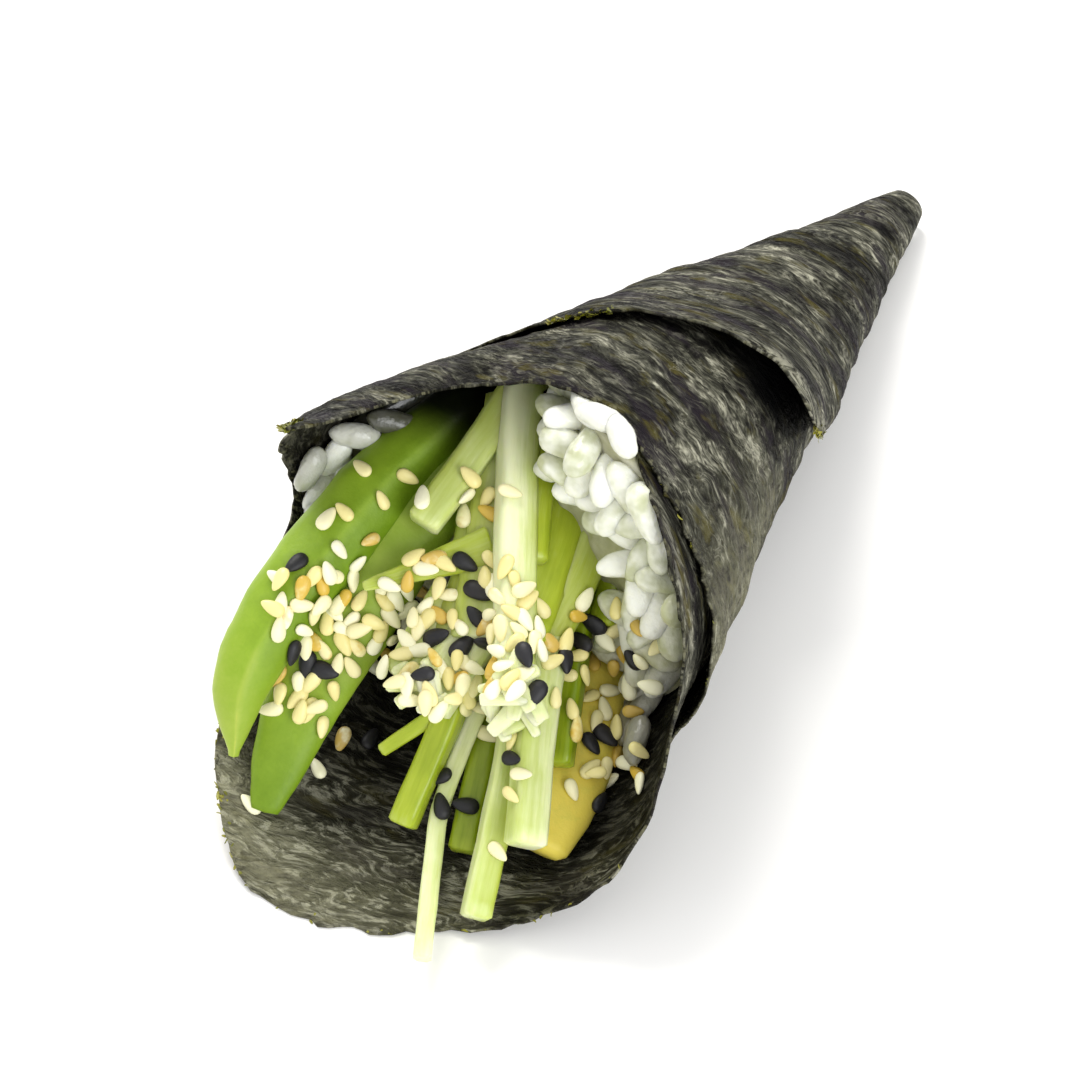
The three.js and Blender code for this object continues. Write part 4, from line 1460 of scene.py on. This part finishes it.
RICE_SIDE = np.array(
    [(300, 300), (478, 545), (500, 575), (520, 600), (545, 616), (600, 622), (640, 614), (700, 606), (900, 606)],
    dtype=float,
)  # row, and the column where the rice starts
RICE_FRONT = np.array(  # turn, and the station of the rice's front at its side
    [
        (0, 82), (15, 87), (40, 89), (75, 93), (110, 94), (240, 94), (262, 96), (285, 96), (297, 92), (312, 76),
        (325, 64), (338, 66), (350, 76), (360, 82),
    ],
    dtype=float,
)  # fmt: skip


@dataclass(frozen=True)
class RiceBed:
    """The rice: a bed that fills the cone inside the sheet, and the grains that show on its front."""

    start: float = 22.0
    front_middle: float = 88.0
    setback: float = 1.2  # of the bed behind the grains
    gap: float = 0.5  # between the bed and the nori
    grains: int = 142
    grain_size: tuple[float, float, float] = (6.9, 3.5, 2.8)
    inner_share: float = 0.1
    share_spread: float = 0.86
    depth: float = 0.9  # how far the grains lie before and behind the front
    unevenness: float = 0.2
    probes: tuple[float, float, float] = (-0.38, 0.0, 0.38)  # places along a grain that are tested
    filling_margin: float = 0.4
    nori_margin: float = 1.2
    corner_scale: float = 0.86
    step: float = 0.4  # how far a corner grain is moved at a time, until it is clear of the nori
    steps: int = 8
    # column, row, direction in degrees and painted shade of each grain in the corners
    corner: tuple[tuple[float, float, float, float], ...] = (
        (334, 450, 65, 0.0), (354, 431, -12, 0.3), (389, 417, -20, 0.85), (315, 484, 50, 0.1), (309, 508, 100, 0.25),
        (372, 440, -35, 0.6), (330, 478, 20, 0.15), (303, 462, 80, 0.4), (345, 462, 120, 0.3),
        (650, 690, 75, 0.1), (631, 704, 110, 0.2), (653, 714, 60, 0.3), (638, 728, 80, 0.35), (648, 745, 95, 0.5),
        (622, 722, 65, 0.4), (587, 407, -75, 0.1), (604, 422, -15, 0.14), (616, 442, -80, 0.1),
    )  # fmt: skip

    def inset(self, turn: np.ndarray) -> np.ndarray:
        """How far inside the outermost surface the bed's side lies.

        Args:
            turn: Turns from 0 to 360.

        Returns:
            Insets.
        """
        sheet = NoriSheet()
        innermost = sheet.pitch * (sheet.end - turn) / 360.0
        return innermost + sheet.pitch * smooth_step(336.0, 358.0, turn) + sheet.thickness / 2 + self.gap

    def front_station(self, turn: np.ndarray, share: np.ndarray) -> np.ndarray:
        """Station of the bed's front.

        Args:
            turn: Turns.
            share: Share of the way from the axis to the side.

        Returns:
            Stations.
        """
        side = along(RICE_FRONT, turn.ravel() % 360.0)[:, 0].reshape(turn.shape)
        hollow = 17.0 * bell(angle_between(turn, 305.0), 0.0, 30.0) * bell(share, 0.62, 0.3)
        return self.front_middle + (side - self.front_middle) * share - hollow

    def point(self, turn: np.ndarray, station: np.ndarray, share: np.ndarray) -> np.ndarray:
        """Point in the bed.

        Args:
            turn: Turns.
            station: Stations.
            share: Share of the way from the axis to the side.

        Returns:
            Points, shape (..., 3).
        """
        inset = self.inset(turn % 360.0) - NoriSheet().ripple(turn, station)
        side = CONE.point(turn, station, inset, 2.2)
        axis = np.stack([np.full_like(station, CONE.axis_x), CONE.tip_y - station, CONE.height(station)], axis=-1)
        return axis + (side - axis) * np.asarray(share)[..., None]

    def shade(self, points: np.ndarray) -> np.ndarray:
        """Painted shade on the rice: full in the hollow at the upper left, and deep down inside the cone.

        Args:
            points: Points, shape (n, 3).

        Returns:
            Shade from 0 to 1.
        """
        station = CONE.tip_y - points[:, 1]
        above = (points[:, 2] - CONE.height(station)) / CONE.radius(station)
        hollow = (1 - smooth_step(-12.5, -10.0, points @ FRONT[0])) * smooth_step(0.0, 0.3, above)
        return np.maximum(1 - smooth_step(62.0, 76.0, station), hollow)

    def darkening(self, points: np.ndarray) -> np.ndarray:
        """How far the rice is darkened: more towards the lower end of the right side."""
        row = facing(points)[1]
        return smooth_step(560.0, 760.0, row) * np.clip(0.5 + 0.9 * value_noise(points / 5.0, 61), 0.0, 1.0)

    def core(self) -> Shape:
        """Builds the bed, lumpy like pressed rice, its front set back behind the grains.

        Returns:
            The bed's shape.
        """
        sides, rings, front = 96, 30, 14
        turns = np.linspace(0.0, 360.0, sides, endpoint=False)[None, :]
        reach = np.linspace(0.0, 1.0, rings)[:, None]
        edge = self.front_station(turns, np.ones_like(turns)) - self.setback
        wall = self.point(turns + 0 * reach, self.start + (edge - self.start) * reach, np.ones((rings, sides)))
        share = np.linspace(1.0, 0.03, front)[1:, None]
        face = self.point(turns + 0 * share, self.front_station(turns, share) - self.setback, share + 0 * turns)
        lumps = 0.55 * layered_noise(face / 2.6, 2, 90)
        face = face + np.array([0.0, -1.0, 0.0]) * lumps[..., None]
        back = self.point(turns, np.full((1, sides), self.start), np.full((1, sides), 0.03))
        points = np.concatenate([back.reshape(-1, 3), wall.reshape(-1, 3), face.reshape(-1, 3)])
        quads = grid_quads(rings + front, sides, wrap=True)[:, ::-1]
        caps = [np.arange(sides)[None, :], (len(points) - sides + np.arange(sides))[None, ::-1]]
        darkening = 0.5 + 0.5 * self.darkening(points)
        # the shade value is painted shade
        values = {"tone": np.zeros(len(points)), "shade": self.shade(points), "darkening": darkening}
        return Shape(points, [quads, *caps], values)

    def grain_shape(self, fillings: Sequence[BVHTree], wall: BVHTree) -> Shape:
        """Builds the grains on the front, spread evenly and leaning every way, clear of the fillings.

        Args:
            fillings: Search trees of what the grains must keep clear of.
            wall: Search tree of the nori.

        Returns:
            The grains' shape.
        """
        key = np.arange(self.grains)
        random = random_values(self.grains, 8, 3)
        share = np.sqrt(self.inner_share + self.share_spread * (key + 0.5) / self.grains)
        turn = np.degrees(key * GOLDEN) % 360.0
        station = self.front_station(turn, share) + self.depth - 2 * self.depth * random[:, 0]
        place = self.point(turn, station, share)
        across, up, back = FRONT
        angle = 2 * np.pi * random[:, 1:2]
        heading = across * np.cos(angle) + up * np.sin(angle) + back * 0.5 * (random[:, 2:3] - 0.5)
        outward = unit(self.point(turn, self.front_station(turn, share), np.ones_like(share)) - place)
        beside = (smooth_step(0.72, 0.92, share) * np.sum(heading * outward, axis=1))[:, None]
        heading = unit(heading - outward * beside)
        out = unit(back + 0.8 * (random[:, 3:6] - 0.5))
        size = np.array(self.grain_size) * (0.88 + 0.24 * random[:, 6:7])
        keep = []
        for centre, direction, extent in zip(place, heading, size):
            probes = [centre + direction * extent[0] * part for part in self.probes]
            near_filling = any(inside(tree, probe, self.filling_margin) for tree in fillings for probe in probes)
            clear = min(wall.find_nearest(Vector(probe))[3] for probe in probes) > self.nori_margin
            reach = max(
                np.hypot(probe[0] - CONE.axis_x, probe[2] - CONE.height(CONE.tip_y - probe[1])) for probe in probes
            )
            column, row = facing(centre)
            bare = column < along(RICE_SIDE, np.array([row]))[0, 0]
            keep.append(not near_filling and not bare and clear and reach < CONE.radius(CONE.tip_y - centre[1]))
        keep = np.array(keep)
        values = {"tone": random[keep, 7], "shade": self.shade(place[keep]), "darkening": self.darkening(place[keep])}
        front = GRAIN.scatter(place[keep], heading[keep], out[keep], size[keep], values)
        whole = front.joined([self.corner_shape(wall)])
        uneven = np.stack([value_noise(whole.points / 1.5, seed) for seed in (92, 93, 94)], axis=1)
        whole.points = whole.points + self.unevenness * uneven
        return whole

    def corner_shape(self, wall: BVHTree) -> Shape:
        """Builds the grains in the corners of the mouth, each lying on the nori or on the bed.

        Args:
            wall: Search tree of the nori.

        Returns:
            The grains' shape.
        """
        bed = self.core().tree()
        across, up, back = FRONT
        size = np.array(self.grain_size) * self.corner_scale
        lift = size[2] / 2
        rows = []
        for column, row, angle, shade in self.corner:
            start, direction = falling(column, row)
            hits = [tree.ray_cast(start, direction) for tree in (bed, wall)]
            near, normal, _, _ = min((hit for hit in hits if hit[0] is not None), key=lambda hit: hit[3])
            out = unit(np.array(normal) * -math.copysign(1.0, normal.dot(direction)) + 0.4 * back)
            turn = math.radians(angle)
            heading = across * math.cos(turn) + up * math.sin(turn)
            heading = unit(heading - out * (heading @ out))
            centre = np.array(near) + out * lift
            for _ in range(self.steps):
                beside, _, _, distance = wall.find_nearest(Vector(centre))
                ends = [wall.ray_cast(centre, heading * side, size[0] * 0.47)[0] for side in (-1, 1)]
                if distance > lift and ends == [None, None]:
                    break
                centre = centre + unit(centre - np.array(beside)) * self.step
            rows.append((centre, heading, out, shade))
        place, heading, out, shade = (np.array(column) for column in zip(*rows))
        # the painted shade also takes the grain's chalky tone down and darkens it further
        values = {"tone": 1 - shade, "shade": shade, "darkening": np.maximum(0.3 * shade, self.darkening(place))}
        return GRAIN.scatter(place, heading, out, np.tile(size, (len(rows), 1)), values)


def inside(tree: BVHTree, point: np.ndarray, margin: float) -> bool:
    """Tells whether a point is in a closed body, or closer to it than a margin."""
    near, normal, _, distance = tree.find_nearest(Vector(point))
    return near is not None and (distance < margin or (Vector(point) - near).dot(normal) < 0)


class SeedKind(enum.Enum):
    """Which sesame a seed is."""

    WHITE = "white"
    BLACK = "black"


@dataclass(frozen=True)
class Sesame:
    """The sesame, dropped from one point over the mouth and resting on whatever it met first."""

    white_size: tuple[float, float, float] = (2.8, 1.52, 0.95)
    black_size: tuple[float, float, float] = (3.2, 1.85, 1.15)
    scatter: float = 9.0  # range over which the aim strays
    crowded: float = 1.25  # distance at which a seed lies on another
    apart: float = 1.5  # least distance of a white seed from a black one
    tilt: float = 0.7
    rest: float = 0.42  # height of a seed's middle over what it lies on
    pile: float = 0.75  # how much higher it lies on another seed
    patches: tuple[tuple[float, float, float, float, int], ...] = (
        (455, 632, 88, 82, 104),
        (322, 620, 52, 56, 36),
        (300, 694, 40, 26, 10),
        (372, 505, 62, 44, 2),
        (600, 668, 58, 70, 30),
        (482, 500, 36, 22, 6),
        (622, 772, 32, 30, 6),
    )
    singles: tuple[tuple[float, float], ...] = (
        (363, 469), (381, 500), (327, 520), (423, 499), (369, 541), (338, 550), (300, 575), (357, 562), (277, 578),
        (250, 805), (317, 770), (343, 740), (321, 727), (309, 710), (498, 852), (515, 795), (640, 775), (514, 742),
        (488, 735), (522, 775), (571, 790), (590, 770), (605, 768),
    )  # fmt: skip
    blacks: tuple[tuple[float, float], ...] = (
        (296, 565), (442, 579), (465, 563), (478, 593), (410, 611), (475, 617), (438, 637), (462, 648), (485, 640),
        (423, 674), (526, 656), (564, 662), (535, 695), (594, 622), (582, 642), (633, 658), (514, 759), (441, 779),
        (441, 807), (465, 806), (325, 671), (307, 664), (291, 652), (590, 745), (605, 737), (598, 802), (370, 740),
    )  # fmt: skip

    def drops(self) -> list[tuple[float, float, SeedKind]]:
        """Lists where the seeds were aimed: even spirals that fill each patch, and single ones.

        Returns:
            Column, row and kind of each seed.
        """
        drops = [(c, r, SeedKind.BLACK) for c, r in self.blacks] + [(c, r, SeedKind.WHITE) for c, r in self.singles]
        for number, patch in enumerate(self.patches):
            random = self.scatter * (random_values(patch[4], 2, 200 + number) - 0.5)
            for (column, row), (aside, below) in zip(spiral(patch, number), random):
                drops.append((column + aside, row + below, SeedKind.WHITE))
        return drops

    def shapes(self, hosts: BVHTree) -> dict[SeedKind, Shape]:
        """Drops the seeds on their hosts.

        Args:
            hosts: Search tree of everything that can catch a seed.

        Returns:
            One shape for each kind.
        """
        drops = self.drops()
        random = random_values(len(drops), 8, 7)
        landed: dict[SeedKind, list[tuple]] = {kind: [] for kind in SeedKind}
        settled: list[tuple[Vector, SeedKind]] = []
        for (column, row, kind), chance in zip(drops, random):
            start, direction = falling(column, row)
            place, normal, _, _ = hosts.ray_cast(start, direction)
            if place is None:
                continue
            if normal.dot(direction) > 0:
                normal = -normal
            crowd = sum(1 for other, _ in settled if (other - place).length < self.crowded)
            blacks = [other for other, other_kind in settled if other_kind is SeedKind.BLACK]
            too_close = any((other - place).length < self.apart for other in blacks)
            if kind is SeedKind.WHITE and (crowd > 1 or too_close):
                continue
            out = unit(np.array(normal) + self.tilt * (chance[:3] - 0.5) + 0.3 * FRONT[2])
            angle = 2 * math.pi * chance[3]
            heading = FRONT[0] * math.cos(angle) + FRONT[1] * math.sin(angle)
            heading = unit(heading - out * (heading @ out))
            settled.append((place, kind))
            dip = 1.7 * abs(heading @ np.array(normal)) - 0.6
            lifted = np.array(place) + out * (self.rest + self.pile * crowd) + np.array(normal) * max(dip, 0.0)
            landed[kind].append((lifted, heading, out, 0.88 + 0.26 * chance[4], chance[5], chance[6] ** 6))
        shapes = {}
        for kind, seeds in landed.items():
            place, heading, out, scale, tone, toast = (np.array(column) for column in zip(*seeds))
            size = np.array(self.black_size if kind is SeedKind.BLACK else self.white_size) * scale[:, None]
            shapes[kind] = SEED.scatter(place, heading, out, size, {"tone": tone, "toast": toast})
            LOG.info("sesame %s: %d seeds", kind.value, len(seeds))
        return shapes


# ---------------------------------------------------------------- the sub-assemblies


@dataclass
class Wrapper:
    """The nori sheet and the shreds along its torn edges."""

    sheet: NoriSheet

    def __post_init__(self) -> None:
        """Computes the sheet's shape."""
        self.shape = self.sheet.shape()

    def build(self) -> None:
        """Makes the wrapper's pieces."""
        make_piece("nori_wrap", self.shape, NoriFinish().build(), "nori", ["nori_sheet"])
        make_piece("nori_shreds", self.sheet.torn_bits(), TornNoriFinish().build(), "nori", ["nori_sheet"])


@dataclass
class Fillings:
    """Cucumber sticks with the chips heaped on them, and avocado slices."""

    heap: Chips

    def __post_init__(self) -> None:
        """Computes the shapes."""
        self.sticks = [stick.shape(index) for index, stick in enumerate(STICKS)]
        self.slices = [piece.shape(index) for index, piece in enumerate(SLICES)]
        self.chips = self.heap.shapes(tree_of([*self.sticks, *self.slices]))

    def trees(self) -> list[BVHTree]:
        """Search trees of every filling."""
        return [shape.tree() for shape in [*self.sticks, *self.slices]]

    def build(self) -> None:
        """Makes the fillings' pieces."""
        cucumber = CucumberFinish().build()
        sticks = self.sticks[0].joined([*self.sticks[1:], *self.chips])
        make_piece("cucumber_sticks", sticks, cucumber, "cucumber", ["cucumber_bundle"])
        for piece, shape in zip(SLICES, self.slices):
            finish = AvocadoFinish(piece.name + "_flesh")
            make_piece(piece.name + "_visual", shape, finish.build(), piece.slot, [piece.name])


@dataclass
class RiceFilling:
    """The rice bed and its grains, which keep clear of the fillings and the nori."""

    bed: RiceBed
    fillings: Fillings
    wrapper: Wrapper

    def __post_init__(self) -> None:
        """Computes the shapes."""
        self.core = self.bed.core()
        self.grains = self.bed.grain_shape(self.fillings.trees(), self.wrapper.shape.tree())

    def build(self) -> None:
        """Makes the rice's pieces."""
        material = RiceFinish().build()
        make_piece("rice_bed", self.core, material, "rice", ["rice"])
        make_piece("rice_grains", self.grains, material, "rice", ["rice"])


@dataclass
class SesameTopping:
    """The white and the black sesame, and the shapes that can catch a seed."""

    sesame: Sesame
    catchers: Sequence[Shape]

    def __post_init__(self) -> None:
        """Drops the seeds."""
        self.shapes = self.sesame.shapes(tree_of(self.catchers))

    def build(self) -> None:
        """Makes the sesame's pieces."""
        finishes = {
            SeedKind.WHITE: SesameFinish("hulled_sesame", "#f9f6d3", "#ecdf96", "#cfa71a", 0.85, 0.36),
            SeedKind.BLACK: SesameFinish("black_sesame", "#121215", "#1c1b1f", "#292524", 0.4, 0.5),
        }
        for kind, shape in self.shapes.items():
            stands_for = ["cucumber_bundle", *(piece.name for piece in SLICES), "rice"]
            make_piece(f"sesame_{kind.value}", shape, finishes[kind].build(), "cucumber", stands_for)


@dataclass(frozen=True)
class Studio:
    """White table, soft light and camera."""

    half_table: float = 900.0
    lamps: tuple[tuple, ...] = (
        ("key", (-0.45, 0.30, 0.7), 0.4, 6.0, "#fffdf8"),
        ("fill", (0.85, -0.35, 0.5), 0.6, 5.5, "#fbfdff"),
    )
    aim: tuple[float, float, float] = (0.0, 0.0, 0.02)
    sensor: float = 36.0
    sky: float = 0.93

    def floor(self) -> None:
        """Makes the table top."""
        corners = np.array([[-1, -1, 0], [1, -1, 0], [1, 1, 0], [-1, 1, 0]]) * self.half_table
        mesh = bpy.data.meshes.new("table_top")
        mesh.from_pydata((corners * MM).tolist(), [], [(0, 1, 2, 3)])
        mesh.materials.append(TableFinish().build())
        floor = bpy.data.objects.new("table_top", mesh)
        bpy.context.scene.collection.objects.link(floor)

    def light(self, name: str, place: tuple[float, float, float], size: float, power: float, colour: str) -> None:
        """Makes one soft square light aimed at the roll.

        Args:
            name: Light name.
            place: Position in metres.
            size: Side of the light in metres.
            power: Power in watts.
            colour: Colour.
        """
        data = bpy.data.lights.new(name, "AREA")
        data.shape, data.size, data.energy, data.color = "SQUARE", size, power, linear(colour)[:3]
        lamp = bpy.data.objects.new(name, data)
        lamp.location = place
        lamp.rotation_euler = (Vector(place) - Vector(self.aim)).to_track_quat("Z", "Y").to_euler()
        bpy.context.scene.collection.objects.link(lamp)

    def camera(self) -> None:
        """Makes the camera."""
        back = FRONT[2]
        place = (np.array(AIM) + SHIFT + back * AWAY) * MM
        data = bpy.data.cameras.new("camera")
        data.sensor_width, data.lens = self.sensor, FOCAL / PLACES * self.sensor
        data.clip_start, data.clip_end = 0.01, 10.0
        camera = bpy.data.objects.new("camera", data)
        turn = Vector(back).to_track_quat("Z", "Y").to_matrix().to_4x4()
        camera.matrix_world = Matrix.Translation(Vector(place)) @ turn
        bpy.context.scene.collection.objects.link(camera)
        bpy.context.scene.camera = camera

    def world(self) -> None:
        """Makes the even white surroundings."""
        world = bpy.data.worlds.new("studio")
        world.use_nodes = True
        world.node_tree.nodes.clear()
        sky = add_node(world.node_tree, "Background", {"Color": linear("#ffffff"), "Strength": self.sky})
        add_node(world.node_tree, "OutputWorld", {"Surface": sky})
        bpy.context.scene.world = world
        bpy.context.scene.view_settings.view_transform = "Standard"

    def build(self) -> None:
        """Makes the whole studio."""
        self.floor()
        for lamp in self.lamps:
            self.light(*lamp)
        self.camera()
        self.world()


def main() -> None:
    """Builds everything in order."""
    logging.basicConfig(level=logging.INFO, format="%(name)s: %(message)s")
    Studio().build()
    wrapper = Wrapper(NoriSheet())
    fillings = Fillings(Chips())
    rice = RiceFilling(RiceBed(), fillings, wrapper)
    catchers = [*fillings.sticks, *fillings.chips, *fillings.slices, rice.core, rice.grains, wrapper.shape]
    sesame = SesameTopping(Sesame(), catchers)
    wrapper.build()
    fillings.build()
    rice.build()
    sesame.build()


if __name__ == "__main__":
    main()
